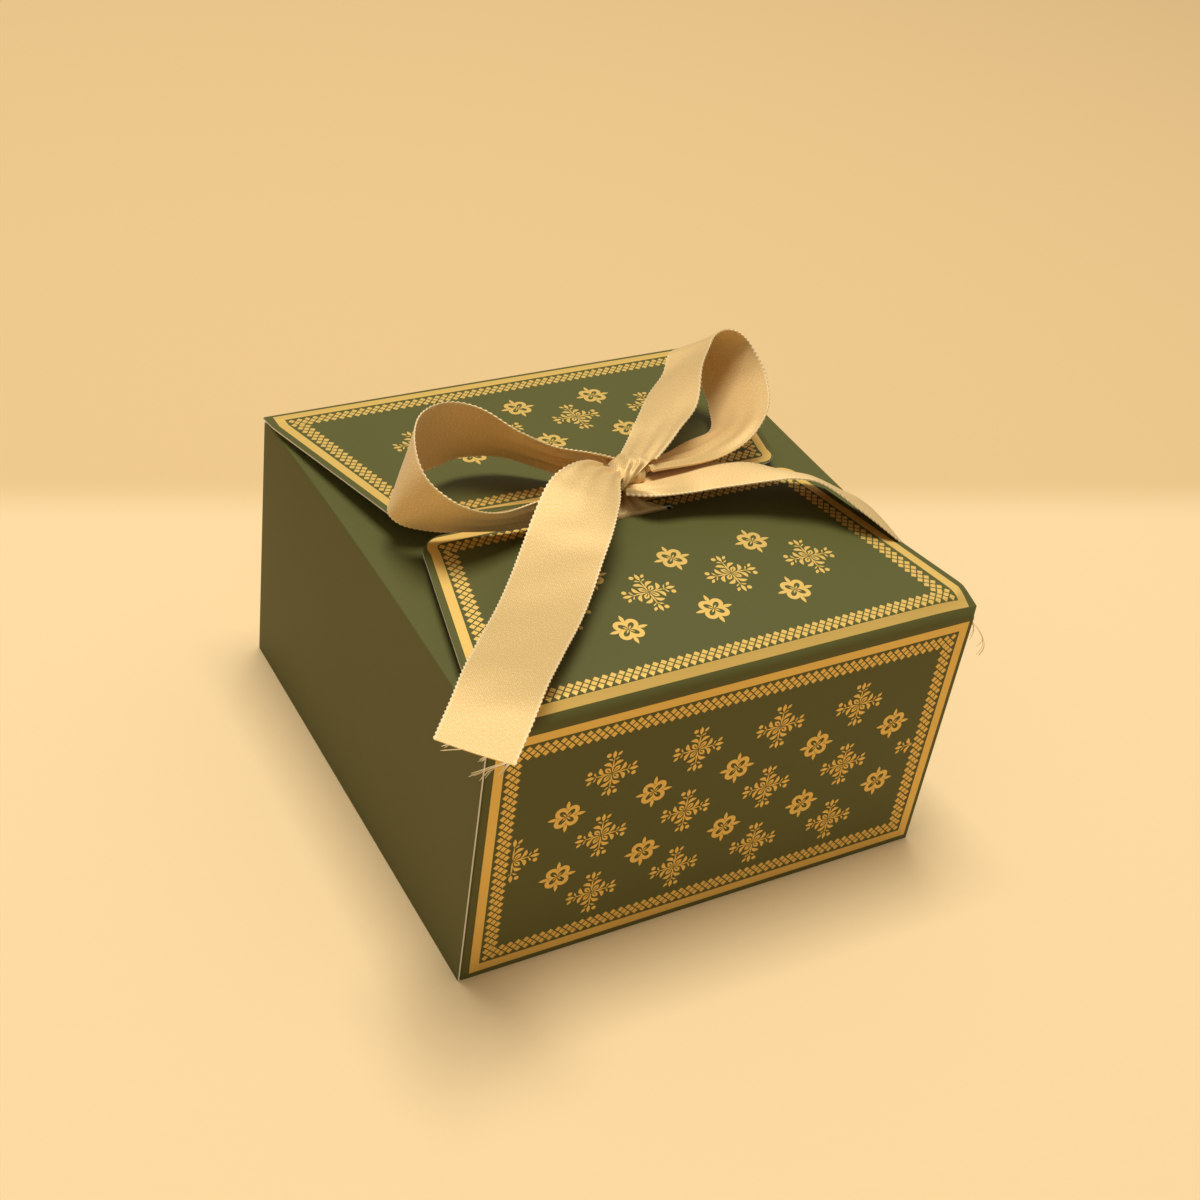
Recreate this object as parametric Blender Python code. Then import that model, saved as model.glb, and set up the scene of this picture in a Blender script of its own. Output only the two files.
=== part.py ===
"""Square folded card gift box, closed by two printed lid flaps and a satin ribbon bow.

Blender 4.5 script, in metres, +Z up. The origin is on the floor under the middle of the box, and the
front of the box faces -Y. The carton is one folded sheet of card; each of its panels is an object here,
and so is each stretch of the one ribbon that runs through the lid's slots and is tied on top.
"""

import bmesh
import bpy
import numpy as np

MM = 0.001

# Carton
BOX_WIDTH = 170 * MM
BOX_DEPTH = 170 * MM
BOX_HEIGHT = 98 * MM
CARD = 0.5 * MM
FIT_GAP = 0.3 * MM

# Base flaps and the side seam
BASE_TONGUE_WIDTH = 60 * MM
BASE_TONGUE_DEPTH = 18 * MM
BASE_SIDE_LENGTH = 66 * MM
BASE_SIDE_END_INSET = 4 * MM
SEAM_TAB_WIDTH = 16 * MM
SEAM_TAB_TAPER = 8 * MM
SEAM_TAB_TOP_DROP = 6 * MM

# Lid flaps, from the hinge crease towards the middle
LID_MEETING_GAP = 1.6 * MM
LID_SHOULDER = 9 * MM
LID_SHOULDER_RISE = 4.7 * MM
LID_CROWN = 1.8 * MM
LID_CORNER_INSET = 17 * MM
LID_CORNER_RADIUS = 8 * MM
BACK_EDGE_RISE = 7 * MM
BACK_EDGE_TWIST = 1.5 * MM
BACK_EDGE_SHIFT = 2.8 * MM

# Dust flaps, under the lid flaps
DUST_DROP = 1 * MM
DUST_TIP_RISE = 3 * MM
DUST_STRAP_CLEARANCE = 8.5 * MM
DUST_END_INSET = 1.5 * MM

# Ribbon, and the slots in the lid that it passes through
RIBBON_WIDTH = 25 * MM
RIBBON_THICKNESS = 0.4 * MM
SLOT_SIDE_CLEARANCE = 1.5 * MM
SLOT_FACE_CLEARANCE = 0.8 * MM
SLOT_FROM_MIDDLE = 11 * MM
SLOT_OFFSET = 2 * MM
CUT_OVERRUN = 6 * MM
STRAP_LIFT = 2.2 * MM
STRAP_DROP = 3 * MM

# Knot
KNOT_LENGTH = 16 * MM
KNOT_DEPTH = 14 * MM
KNOT_HEIGHT = 11.6 * MM
KNOT_PLEAT = 0.5 * MM
KNOT_PLEATS = 5
KNOT_ACROSS_SHARE = 0.047
KNOT_ALONG_SHARE = -0.012
KNOT_CLEARANCE = 1.2 * MM
END_GAP = 0.4 * MM
KNOT_SPREAD_SHARE = 0.36

STRIP_STEPS = 44
STRIP_COLUMNS = 4
FRAY_STEPS = 16
LID_COLUMNS = 12
KNOT_RINGS = 14
KNOT_SEGMENTS = 24

HALF_WIDTH = BOX_WIDTH / 2
HALF_DEPTH = BOX_DEPTH / 2
LID_LENGTH = HALF_DEPTH - LID_MEETING_GAP / 2
SLOT_LENGTH = RIBBON_WIDTH + 2 * SLOT_SIDE_CLEARANCE
SLOT_WIDTH = RIBBON_THICKNESS + 2 * SLOT_FACE_CLEARANCE
DUST_LENGTH = HALF_WIDTH - SLOT_OFFSET - RIBBON_WIDTH / 2 - DUST_STRAP_CLEARANCE
BOW_BASE = BOX_HEIGHT + BACK_EDGE_RISE + CARD
KNOT_RADII = np.array([KNOT_LENGTH, KNOT_DEPTH, KNOT_HEIGHT]) / 2
KNOT_CENTRE = np.array(
    [
        KNOT_ACROSS_SHARE * HALF_WIDTH,
        KNOT_ALONG_SHARE * HALF_DEPTH,
        BOW_BASE + KNOT_CLEARANCE + KNOT_HEIGHT / 2,
    ]
)

# Ribbon stations. A row gives the centre as shares of the box's half width and half depth, and of the
# ribbon's width above the lid; then the direction from the lower selvage to the upper one; then the
# share of its full width that the ribbon is spread to there. A row of exit shares gives the direction
# from the knot's centre in which the ribbon leaves it, and the direction across the ribbon there.
LEFT_LOOP_EXIT_SHARES = ((-1.0, 0.75, 0.15, 0.20, 0.10, 1.00), (-1.0, -0.45, -0.25, 0.0, 0.0, 1.0))
LEFT_LOOP_SHARES = (
    (-0.19, 0.11, 0.40, -0.10, -0.45, 0.90, 0.62),
    (-0.35, 0.18, 0.57, -0.10, -0.62, 0.80, 0.92),
    (-0.49, 0.24, 0.71, 0.00, -0.38, 0.93, 1.0),
    (-0.61, 0.25, 0.75, 0.00, -0.10, 1.00, 1.0),
    (-0.72, 0.21, 0.75, 0.00, -0.08, 1.00, 1.0),
    (-0.81, 0.13, 0.71, 0.10, -0.22, 0.97, 1.0),
    (-0.86, 0.02, 0.65, 0.18, -0.38, 0.91, 1.0),
    (-0.84, -0.06, 0.55, 0.12, -0.50, 0.86, 1.0),
    (-0.75, -0.12, 0.45, 0.05, -0.62, 0.78, 1.0),
    (-0.59, -0.13, 0.32, 0.05, -0.62, 0.78, 0.84),
    (-0.41, -0.12, 0.255, 0.10, -0.35, 0.92, 0.64),
    (-0.24, -0.08, 0.22, 0.00, -0.25, 1.00, 0.50),
)
RIGHT_LOOP_EXIT_SHARES = ((0.75, 0.6, 0.3, 0.50, -0.60, 0.40), (1.0, 0.0, 0.15, 0.10, -0.80, 0.50))
RIGHT_LOOP_SHARES = (
    (0.22, 0.12, 0.44, 0.40, -0.68, 0.55, 0.72),
    (0.32, 0.20, 0.58, 0.45, -0.68, 0.58, 0.92),
    (0.43, 0.33, 0.76, 0.33, -0.60, 0.73, 1.0),
    (0.52, 0.41, 0.86, 0.24, -0.61, 0.75, 1.0),
    (0.58, 0.47, 0.94, 0.22, -0.70, 0.68, 1.0),
    (0.64, 0.49, 0.95, 0.23, -0.71, 0.67, 1.0),
    (0.69, 0.47, 0.85, 0.28, -0.62, 0.73, 1.0),
    (0.72, 0.41, 0.65, 0.39, -0.50, 0.77, 1.0),
    (0.71, 0.29, 0.47, 0.45, -0.51, 0.73, 1.0),
    (0.62, 0.14, 0.33, 0.45, -0.66, 0.60, 0.9),
    (0.40, 0.05, 0.25, 0.60, -0.80, 0.12, 0.60),
)
FRONT_TAIL_EXIT_SHARES = (-0.45, -0.35, 0.85, -0.55, 0.75, 0.15)
FRONT_TAIL_SHARES = (
    (-0.14, -0.12, 0.64, -0.60, 0.75, 0.12, 0.62),
    (-0.25, -0.20, 0.65, -0.68, 0.73, 0.03, 0.88),
    (-0.36, -0.32, 0.52, -0.69, 0.70, -0.11, 1.0),
    (-0.45, -0.42, 0.38, -0.71, 0.69, -0.14, 1.0),
    (-0.61, -0.60, 0.23, -0.70, 0.70, -0.11, 1.0),
    (-0.78, -0.77, 0.19, -0.69, 0.70, -0.16, 1.0),
    (-0.88, -0.87, 0.17, -0.67, 0.72, -0.18, 1.0),
    (-0.98, -0.98, 0.10, -0.64, 0.75, -0.18, 1.0),
    (-1.10, -1.10, -0.08, -0.55, 0.82, -0.15, 1.0),
)
RIGHT_TAIL_EXIT_SHARES = (0.75, -0.65, -0.15, 0.65, 0.72, -0.20)
RIGHT_TAIL_SHARES = (
    (0.25, -0.08, 0.20, 0.25, 0.93, -0.25, 0.85),
    (0.35, -0.10, 0.23, 0.28, 0.92, -0.28, 1.0),
    (0.46, -0.13, 0.26, 0.35, 0.86, -0.37, 1.0),
    (0.56, -0.17, 0.29, 0.44, 0.77, -0.46, 1.0),
    (0.64, -0.22, 0.29, 0.54, 0.66, -0.52, 1.0),
    (0.72, -0.26, 0.26, 0.49, 0.71, -0.50, 1.0),
    (0.79, -0.32, 0.19, 0.53, 0.68, -0.48, 0.97),
    (0.86, -0.39, 0.09, 0.51, 0.78, -0.37, 1.0),
    (0.93, -0.47, -0.03, 0.51, 0.79, -0.33, 1.0),
    (0.998, -0.55, -0.225, 0.37, 0.80, -0.47, 1.0),
    (1.031, -0.64, -0.54, 0.08, 0.69, -0.73, 1.0),
    (1.039, -0.735, -0.76, 0.0, 0.64, -0.77, 1.0),
    (1.039, -0.825, -0.97, 0.0, 0.60, -0.80, 1.0),
)
# Strap stations, from the knot through a slot to the line where the lid flaps meet: shares of the
# slot's distance from that line, of the lift above the flap, of the drop below it, and of the width.
STRAP_SHARES = (
    (0.30, 1.00, 0.00, 0.42),
    (0.60, 1.05, 0.00, 0.75),
    (0.88, 0.85, 0.00, 0.96),
    (1.00, 0.25, 0.00, 1.00),
    (0.97, 0.00, 0.45, 1.00),
    (0.77, 0.00, 0.85, 1.00),
    (0.41, 0.00, 1.00, 1.00),
    (0.08, 0.00, 1.00, 1.00),
)
# Frayed threads past the cut ends: stations like those above, and the share of them each thread runs.
FRONT_FRAY_SHARES = (
    (-1.106, -1.107, -0.09, -0.55, 0.82, -0.15, 0.98),
    (-1.135, -1.14, -0.17, -0.52, 0.84, -0.15, 0.98),
    (-1.160, -1.172, -0.29, -0.48, 0.86, -0.15, 0.98),
    (-1.178, -1.195, -0.43, -0.45, 0.88, -0.15, 0.98),
)
FRONT_THREAD_SHARES = (0.5, 0.25, 0.7, 0.3, 0.2, 0.5, 0.3, 0.8, 0.45, 1.0, 0.35)
RIGHT_FRAY_SHARES = (
    (1.039, -0.876, -0.787, 0.0, 0.60, -0.80, 0.48),
    (1.041, -0.922, -0.88, 0.0, 0.62, -0.78, 0.48),
    (1.046, -0.966, -1.00, 0.0, 0.68, -0.74, 0.48),
    (1.048, -0.998, -1.14, 0.0, 0.76, -0.66, 0.48),
)
RIGHT_THREAD_SHARES = (1.0, 0.6, 0.9, 0.4, 0.3, 0.5)
RUNG_SHARES = (0.0, 0.35, 0.7, 1.0)
LID_BODY_SHARES = (0.15, 0.3, 0.45, 0.6, 0.75, 0.88, 1.0)
CORNER_ANGLES = (30, 55, 75, 90)


def clear_scene():
    for item in list(bpy.data.objects):
        bpy.data.objects.remove(item, do_unlink=True)


def make_material(name, colour, roughness, metallic=0.0):
    material = bpy.data.materials.new(name)
    material.use_nodes = True
    shader = material.node_tree.nodes["Principled BSDF"]
    shader.inputs["Base Color"].default_value = (*colour, 1.0)
    shader.inputs["Roughness"].default_value = roughness
    shader.inputs["Metallic"].default_value = metallic
    return material


def add_piece(name, points, faces, material):
    """Make one closed object from points and faces, with its faces pointing outwards."""
    mesh = bpy.data.meshes.new(name)
    mesh.from_pydata([tuple(point) for point in points], [], faces)
    work = bmesh.new()
    work.from_mesh(mesh)
    bmesh.ops.recalc_face_normals(work, faces=work.faces)
    work.to_mesh(mesh)
    work.free()
    mesh.materials.append(material.copy())
    mesh.materials[0].name = name
    piece = bpy.data.objects.new(name, mesh)
    bpy.context.scene.collection.objects.link(piece)
    return piece


def prism(name, outline, low, high, material):
    """Extrude an outline of (x, y) corners from one height to another."""
    count = len(outline)
    points = [(x, y, low) for x, y in outline] + [(x, y, high) for x, y in outline]
    faces = [list(range(count)), list(range(count, 2 * count))]
    for i in range(count):
        after = (i + 1) % count
        faces.append([i, after, count + after, count + i])
    return add_piece(name, points, faces, material)


def slab(name, low, high, material):
    """A box between two opposite corners."""
    outline = [(low[0], low[1]), (high[0], low[1]), (high[0], high[1]), (low[0], high[1])]
    return prism(name, outline, low[2], high[2], material)


def plate_between(name, lower, upper, material, kept=None):
    """Close the space between two grids of points into one solid, over the kept cells of the grid."""
    rows, columns = lower.shape[:2]
    count = rows * columns
    faces = []
    rim = set()
    for i in range(rows - 1):
        for j in range(columns - 1):
            if kept is not None and not kept[i][j]:
                continue
            corner = i * columns + j
            quad = [corner, corner + 1, corner + columns + 1, corner + columns]
            faces.append(quad)
            faces.append([count + k for k in quad])
            for start, end in zip(quad, quad[1:] + quad[:1]):
                if (end, start) in rim:
                    rim.remove((end, start))
                else:
                    rim.add((start, end))
    for start, end in sorted(rim):
        faces.append([start, end, count + end, count + start])
    points = np.concatenate([lower.reshape(-1, 3), upper.reshape(-1, 3)])
    used = sorted({k for face in faces for k in face})
    place = {k: i for i, k in enumerate(used)}
    return add_piece(name, points[used], [[place[k] for k in face] for face in faces], material)


def build_carton_body(card):
    """Four walls, the seam's glue tab, and the four base flaps that interlock inside them."""
    wall_top = BOX_HEIGHT - FIT_GAP
    side_top = BOX_HEIGHT - DUST_DROP - FIT_GAP
    inner_x = HALF_WIDTH - CARD
    inner_y = HALF_DEPTH - CARD
    span = inner_x - FIT_GAP
    slab("front_wall", (-span, -HALF_DEPTH, 0), (span, -inner_y, wall_top), card)
    slab("back_wall", (-span, inner_y, 0), (span, HALF_DEPTH, wall_top), card)
    slab("left_wall", (-HALF_WIDTH, -HALF_DEPTH, 0), (-inner_x, HALF_DEPTH, side_top), card)
    slab("right_wall", (inner_x, -HALF_DEPTH, 0), (HALF_WIDTH, HALF_DEPTH, side_top), card)
    build_seam_tab(card, inner_x, inner_y, side_top)
    build_base(card, inner_x - FIT_GAP, inner_y - FIT_GAP)


def build_seam_tab(card, inner_x, inner_y, side_top):
    """Glue tab of the front wall, behind the left wall, with tapered ends."""
    outer = -inner_x + FIT_GAP
    near = -inner_y + FIT_GAP
    far = near + SEAM_TAB_WIDTH
    low = 2 * CARD + 3 * FIT_GAP
    high = side_top - SEAM_TAB_TOP_DROP
    outline = [(near, low), (far, low + SEAM_TAB_TAPER), (far, high - SEAM_TAB_TAPER), (near, high)]
    points = [(x, y, z) for x in (outer, outer + CARD) for y, z in outline]
    faces = [[0, 1, 2, 3], [4, 5, 6, 7], [0, 1, 5, 4], [1, 2, 6, 5], [2, 3, 7, 6], [3, 0, 4, 7]]
    add_piece("seam_glue_tab", points, faces, card)


def build_base(card, reach_x, reach_y):
    """Front and back base flaps meet at a tongue and notch, under the two side flaps."""
    tongue = BASE_TONGUE_WIDTH / 2
    seat = FIT_GAP / 2
    front = [
        (-reach_x, -reach_y),
        (reach_x, -reach_y),
        (reach_x, -seat),
        (tongue, -seat),
        (tongue, BASE_TONGUE_DEPTH - seat),
        (-tongue, BASE_TONGUE_DEPTH - seat),
        (-tongue, -seat),
        (-reach_x, -seat),
    ]
    notch = tongue + FIT_GAP
    back = [
        (-reach_x, reach_y),
        (-reach_x, seat),
        (-notch, seat),
        (-notch, BASE_TONGUE_DEPTH + seat),
        (notch, BASE_TONGUE_DEPTH + seat),
        (notch, seat),
        (reach_x, seat),
        (reach_x, reach_y),
    ]
    prism("base_front_flap", front, 0, CARD, card)
    prism("base_back_flap", back, 0, CARD, card)
    low = CARD + FIT_GAP
    end = reach_y - BASE_SIDE_END_INSET
    for name, side in (("base_left_flap", -1), ("base_right_flap", 1)):
        hinge = side * reach_x
        tip = side * (reach_x - BASE_SIDE_LENGTH)
        tip_end = end - BASE_SIDE_LENGTH
        outline = [(hinge, -end), (tip, -tip_end), (tip, tip_end), (hinge, end)]
        prism(name, outline, low, low + CARD, card)


def lid_half_width(distance):
    """Half width of a lid flap: full to the shoulder, tapered beyond it, round at the inner corners."""
    straight_end = LID_LENGTH - LID_CORNER_RADIUS
    run = np.clip((distance - LID_SHOULDER) / (LID_LENGTH - LID_SHOULDER), 0, 1)
    half = HALF_WIDTH - LID_CORNER_INSET * run
    past = np.clip(distance - straight_end, 0, LID_CORNER_RADIUS)
    return half - LID_CORNER_RADIUS + np.sqrt(LID_CORNER_RADIUS**2 - past**2)


def front_rise(distance, across):
    """The front flap climbs over a rounded shoulder and is then crowned across its middle."""
    climb = np.sin(np.clip(distance / LID_SHOULDER, 0, 1) * np.pi / 2)
    run = np.clip((distance - LID_SHOULDER) / (LID_LENGTH - LID_SHOULDER), 0, 1)
    return LID_SHOULDER_RISE * climb + LID_CROWN * np.sin(np.pi * run) * (1 - across**2)


def back_rise(distance, across):
    """The back flap slopes up evenly to its inner edge, a little more on the left."""
    return (BACK_EDGE_RISE - BACK_EDGE_TWIST * across) * distance / LID_LENGTH


def back_shift(distance):
    """The back flap is pulled a little to the left, most at its inner edge."""
    return -BACK_EDGE_SHIFT * distance / LID_LENGTH


def lid_distances():
    shoulder = [LID_SHOULDER * share for share in RUNG_SHARES]
    straight_end = LID_LENGTH - LID_CORNER_RADIUS
    body = [LID_SHOULDER + (straight_end - LID_SHOULDER) * share for share in LID_BODY_SHARES]
    corner = [straight_end + LID_CORNER_RADIUS * np.sin(np.radians(a)) for a in CORNER_ANGLES]
    return np.array(shoulder + body + corner)


def build_lid_flap(name, side, rise, shift, card):
    """One lid flap as a curved plate. side is -1 where its crease is at the front, 1 at the back."""
    distance = lid_distances()[:, None]
    across = np.linspace(-1, 1, LID_COLUMNS + 1)[None, :]
    lower = np.empty((distance.shape[0], LID_COLUMNS + 1, 3))
    lower[..., 0] = across * lid_half_width(np.minimum(distance, LID_LENGTH)) + shift(distance)
    lower[..., 1] = side * (HALF_DEPTH - distance)
    lower[..., 2] = BOX_HEIGHT + rise(distance, across)
    upper = lower + [0, 0, CARD]
    flap = plate_between(name, lower, upper, card)
    cut_slot(flap, side)
    return flap


def cut_slot(flap, side):
    """Cut the slot that the ribbon passes through, upright through the flap."""
    middle = side * SLOT_FROM_MIDDLE
    low = (SLOT_OFFSET - SLOT_LENGTH / 2, middle - SLOT_WIDTH / 2, BOX_HEIGHT - CUT_OVERRUN)
    top = BOX_HEIGHT + BACK_EDGE_RISE + LID_SHOULDER_RISE + CUT_OVERRUN
    high = (SLOT_OFFSET + SLOT_LENGTH / 2, middle + SLOT_WIDTH / 2, top)
    cutter = slab(flap.name + "_slot_cutter", low, high, flap.data.materials[0])
    cutter.hide_render = True
    cutter.display_type = "WIRE"
    cut = flap.modifiers.new("slot", "BOOLEAN")
    cut.operation = "DIFFERENCE"
    cut.solver = "EXACT"
    cut.object = cutter


def build_dust_flap(name, side, card):
    """Side flap under the lid. Its 45 degree ends let it open together with the lid flaps."""
    hinge_end = HALF_DEPTH - DUST_END_INSET
    tip_end = hinge_end - DUST_LENGTH
    hinge = side * HALF_WIDTH
    tip = side * (HALF_WIDTH - DUST_LENGTH)
    low = BOX_HEIGHT - DUST_DROP
    lower = np.array(
        [
            [(hinge, -hinge_end, low), (hinge, hinge_end, low)],
            [(tip, -tip_end, low + DUST_TIP_RISE), (tip, tip_end, low + DUST_TIP_RISE)],
        ]
    )
    return plate_between(name, lower, lower + [0, 0, CARD], card)


def knot_exit(shares):
    """The row of a ribbon just outside the knot: its centre, its width's direction and its spread."""
    unit = np.array(shares[:3]) / np.linalg.norm(shares[:3])
    centre = KNOT_CENTRE + unit * (KNOT_RADII + KNOT_PLEAT + END_GAP)
    return [*centre, *shares[3:], KNOT_SPREAD_SHARE]


def stations(shares, first=None, last=None):
    """Turn a table of shares into rows of centre, selvage direction and spread, with knot ends added."""
    rows = np.array(shares)
    rows[:, 0] *= HALF_WIDTH
    rows[:, 1] *= HALF_DEPTH
    rows[:, 2] = BOW_BASE + rows[:, 2] * RIBBON_WIDTH
    if first is not None:
        rows = np.vstack([[knot_exit(first)], rows])
    if last is not None:
        rows = np.vstack([rows, [knot_exit(last)]])
    return rows


def smooth_rows(rows, steps):
    """Read a smooth curve through the rows: each stretch is a cubic that keeps its ends' slopes."""
    count = len(rows)
    place = np.linspace(0, count - 1, steps + 1)
    index = np.minimum(place.astype(int), count - 2)
    u = (place - index)[:, None]
    before = rows[np.maximum(index - 1, 0)]
    start = rows[index]
    end = rows[index + 1]
    after = rows[np.minimum(index + 2, count - 1)]
    linear = (end - before) * u
    square = (2 * before - 5 * start + 4 * end - after) * u**2
    cube = (3 * start - before - 3 * end + after) * u**3
    return start + (linear + square + cube) / 2


def ribbon_faces(rows, steps, columns):
    """The two faces of a ribbon along the rows, as grids of points an even thickness apart."""
    path = smooth_rows(rows, steps)
    centre = path[:, :3]
    lean = path[:, 3:6] / np.linalg.norm(path[:, 3:6], axis=1)[:, None]
    along = np.gradient(centre, axis=0)
    face = np.cross(along, lean)
    face /= np.linalg.norm(face, axis=1)[:, None]
    reach = (path[:, 6] * RIBBON_WIDTH / 2)[:, None, None]
    across = np.linspace(-1, 1, columns + 1)[None, :, None]
    middle = centre[:, None, :] + lean[:, None, :] * reach * across
    offset = face[:, None, :] * RIBBON_THICKNESS / 2
    return middle - offset, middle + offset


def build_ribbon(name, rows, satin):
    """A flat ribbon along the rows, spread between its selvages."""
    lower, upper = ribbon_faces(rows, STRIP_STEPS, STRIP_COLUMNS)
    return plate_between(name, lower, upper, satin)


def strap_rows(side, rise):
    """Rows of a strap that runs from under the knot through one flap's slot, with its width along X."""
    rows = []
    flap = BOX_HEIGHT + rise(HALF_DEPTH - SLOT_FROM_MIDDLE, 0)
    for along, lift, drop, spread in STRAP_SHARES:
        height = flap + lift * STRAP_LIFT - drop * STRAP_DROP
        rows.append((SLOT_OFFSET, side * along * SLOT_FROM_MIDDLE, height, 1.0, 0.0, 0.0, spread))
    return np.array(rows)


def build_knot(satin):
    """The knot: a drawn-in bundle whose pleats wind round it on a slant."""
    polar = np.linspace(0, np.pi, KNOT_RINGS + 1)[1:-1, None]
    turn = np.linspace(0, 2 * np.pi, KNOT_SEGMENTS, endpoint=False)[None, :]
    pleat = KNOT_PLEAT * np.cos(KNOT_PLEATS * turn + 2 * polar) * np.sin(polar) ** 2
    unit = np.stack([np.sin(polar) * np.cos(turn), np.sin(polar) * np.sin(turn)], axis=-1)
    ring = np.empty((*turn.shape[1:], 3))
    body = np.empty((len(polar), *ring.shape))
    body[..., 0] = (KNOT_RADII[0] + pleat) * unit[..., 0]
    body[..., 1] = (KNOT_RADII[1] + pleat) * unit[..., 1]
    body[..., 2] = KNOT_RADII[2] * np.cos(polar)
    points = (KNOT_CENTRE + body).reshape(-1, 3)
    poles = KNOT_CENTRE + np.array([[0, 0, KNOT_RADII[2]], [0, 0, -KNOT_RADII[2]]])
    faces = []
    last = (len(polar) - 1) * KNOT_SEGMENTS
    top = len(points)
    for j in range(KNOT_SEGMENTS):
        after = (j + 1) % KNOT_SEGMENTS
        faces.append([top, j, after])
        faces.append([top + 1, last + after, last + j])
        for i in range(len(polar) - 1):
            row = i * KNOT_SEGMENTS
            faces.append([row + j, row + KNOT_SEGMENTS + j, row + KNOT_SEGMENTS + after, row + after])
    return add_piece("ribbon_knot", np.vstack([points, poles]), faces, satin)


def build_fray(name, rows, lengths, satin):
    """Loose threads past a cut end: a strip along the rows, cut into teeth of the given share lengths."""
    columns = 2 * len(lengths) - 1
    lower, upper = ribbon_faces(rows, FRAY_STEPS, columns)
    kept = np.zeros((FRAY_STEPS, columns), dtype=bool)
    kept[0] = True
    for tooth, share in enumerate(lengths):
        kept[: max(2, round(share * FRAY_STEPS)), 2 * tooth] = True
    return plate_between(name, lower, upper, satin, kept)


def hang_on(name, place, pieces):
    """Put an empty on a hinge line and hang pieces on it, so that their origin lies on the joint's axis."""
    hinge = bpy.data.objects.new(name, None)
    hinge.location = place
    bpy.context.scene.collection.objects.link(hinge)
    for piece in pieces:
        piece.parent = hinge
        piece.location = [-value for value in place]


def main():
    clear_scene()
    card = make_material("green_card", (0.045, 0.052, 0.022), 0.55)
    satin = make_material("gold_satin", (0.66, 0.44, 0.15), 0.32, 0.1)
    build_carton_body(card)
    front = [build_lid_flap("front_lid_flap", -1, front_rise, np.zeros_like, card)]
    back = [build_lid_flap("back_lid_flap", 1, back_rise, back_shift, card)]
    left_dust = build_dust_flap("left_dust_flap", -1, card)
    right_dust = build_dust_flap("right_dust_flap", 1, card)
    front.append(build_ribbon("ribbon_strap_front", strap_rows(-1, front_rise), satin))
    back.append(build_ribbon("ribbon_strap_back", strap_rows(1, back_rise), satin))
    front.append(build_knot(satin))
    left_loop = stations(LEFT_LOOP_SHARES, *LEFT_LOOP_EXIT_SHARES)
    right_loop = stations(RIGHT_LOOP_SHARES, *RIGHT_LOOP_EXIT_SHARES)
    front.append(build_ribbon("bow_loop_left", left_loop, satin))
    front.append(build_ribbon("bow_loop_right", right_loop, satin))
    front_tail = stations(FRONT_TAIL_SHARES, FRONT_TAIL_EXIT_SHARES)
    right_tail = stations(RIGHT_TAIL_SHARES, RIGHT_TAIL_EXIT_SHARES)
    front.append(build_ribbon("ribbon_tail_front", front_tail, satin))
    front.append(build_ribbon("ribbon_tail_right", right_tail, satin))
    front.append(build_fray("front_tail_threads", stations(FRONT_FRAY_SHARES), FRONT_THREAD_SHARES, satin))
    front.append(build_fray("right_tail_threads", stations(RIGHT_FRAY_SHARES), RIGHT_THREAD_SHARES, satin))
    hang_on("front_lid_hinge", (0, -HALF_DEPTH, BOX_HEIGHT), front)
    hang_on("back_lid_hinge", (0, HALF_DEPTH, BOX_HEIGHT), back)
    hang_on("left_dust_hinge", (-HALF_WIDTH, 0, BOX_HEIGHT - DUST_DROP), [left_dust])
    hang_on("right_dust_hinge", (HALF_WIDTH, 0, BOX_HEIGHT - DUST_DROP), [right_dust])


main()
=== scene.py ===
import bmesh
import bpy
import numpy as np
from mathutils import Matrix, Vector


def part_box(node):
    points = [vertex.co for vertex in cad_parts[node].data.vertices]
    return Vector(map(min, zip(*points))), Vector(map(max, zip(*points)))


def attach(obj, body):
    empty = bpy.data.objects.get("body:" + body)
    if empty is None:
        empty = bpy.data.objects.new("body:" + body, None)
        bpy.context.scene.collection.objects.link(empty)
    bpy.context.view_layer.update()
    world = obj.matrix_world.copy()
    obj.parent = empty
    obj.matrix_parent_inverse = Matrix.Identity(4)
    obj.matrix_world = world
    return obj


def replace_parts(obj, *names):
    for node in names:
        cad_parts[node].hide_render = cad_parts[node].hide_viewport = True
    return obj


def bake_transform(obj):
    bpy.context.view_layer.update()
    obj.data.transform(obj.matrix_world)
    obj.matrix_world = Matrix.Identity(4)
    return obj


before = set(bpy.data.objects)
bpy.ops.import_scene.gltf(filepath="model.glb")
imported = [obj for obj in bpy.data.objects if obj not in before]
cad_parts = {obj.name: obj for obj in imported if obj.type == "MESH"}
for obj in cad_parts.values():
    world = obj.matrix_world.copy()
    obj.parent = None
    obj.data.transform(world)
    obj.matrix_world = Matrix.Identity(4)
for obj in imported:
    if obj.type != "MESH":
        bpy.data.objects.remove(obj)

# %% [markdown]
# # A folded card gift box tied with a satin bow
# The box is one sheet of printed card, creased and folded, with a ribbon threaded through two slots
# in its lid. Everything here is a thin sheet, so nearly every piece is made the same way: a grid of
# points for the face that shows, a second grid just behind it, and a cut edge between the two. The
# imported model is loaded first, and gives the sizes and the bodies that the pieces ride on.

scene = bpy.context.scene
MM = 0.001
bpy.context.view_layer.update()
HALF_WIDTH = -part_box("left_wall")[0].x
HALF_DEPTH = -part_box("left_wall")[0].y
LID_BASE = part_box("front_lid_flap")[0].z
DUST_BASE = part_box("left_dust_flap")[0].z
CARD = 0.5 * MM
print("half width, half depth and lid height in mm:", HALF_WIDTH / MM, HALF_DEPTH / MM, LID_BASE / MM)

# %% [markdown]
# ## The camera
# A camera is matched to a photograph by finding its place, its direction and its lens together. Here
# the box's straight edges gave all three. It was held a little turned, so the frame is rolled about
# the line of sight as well.

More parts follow.
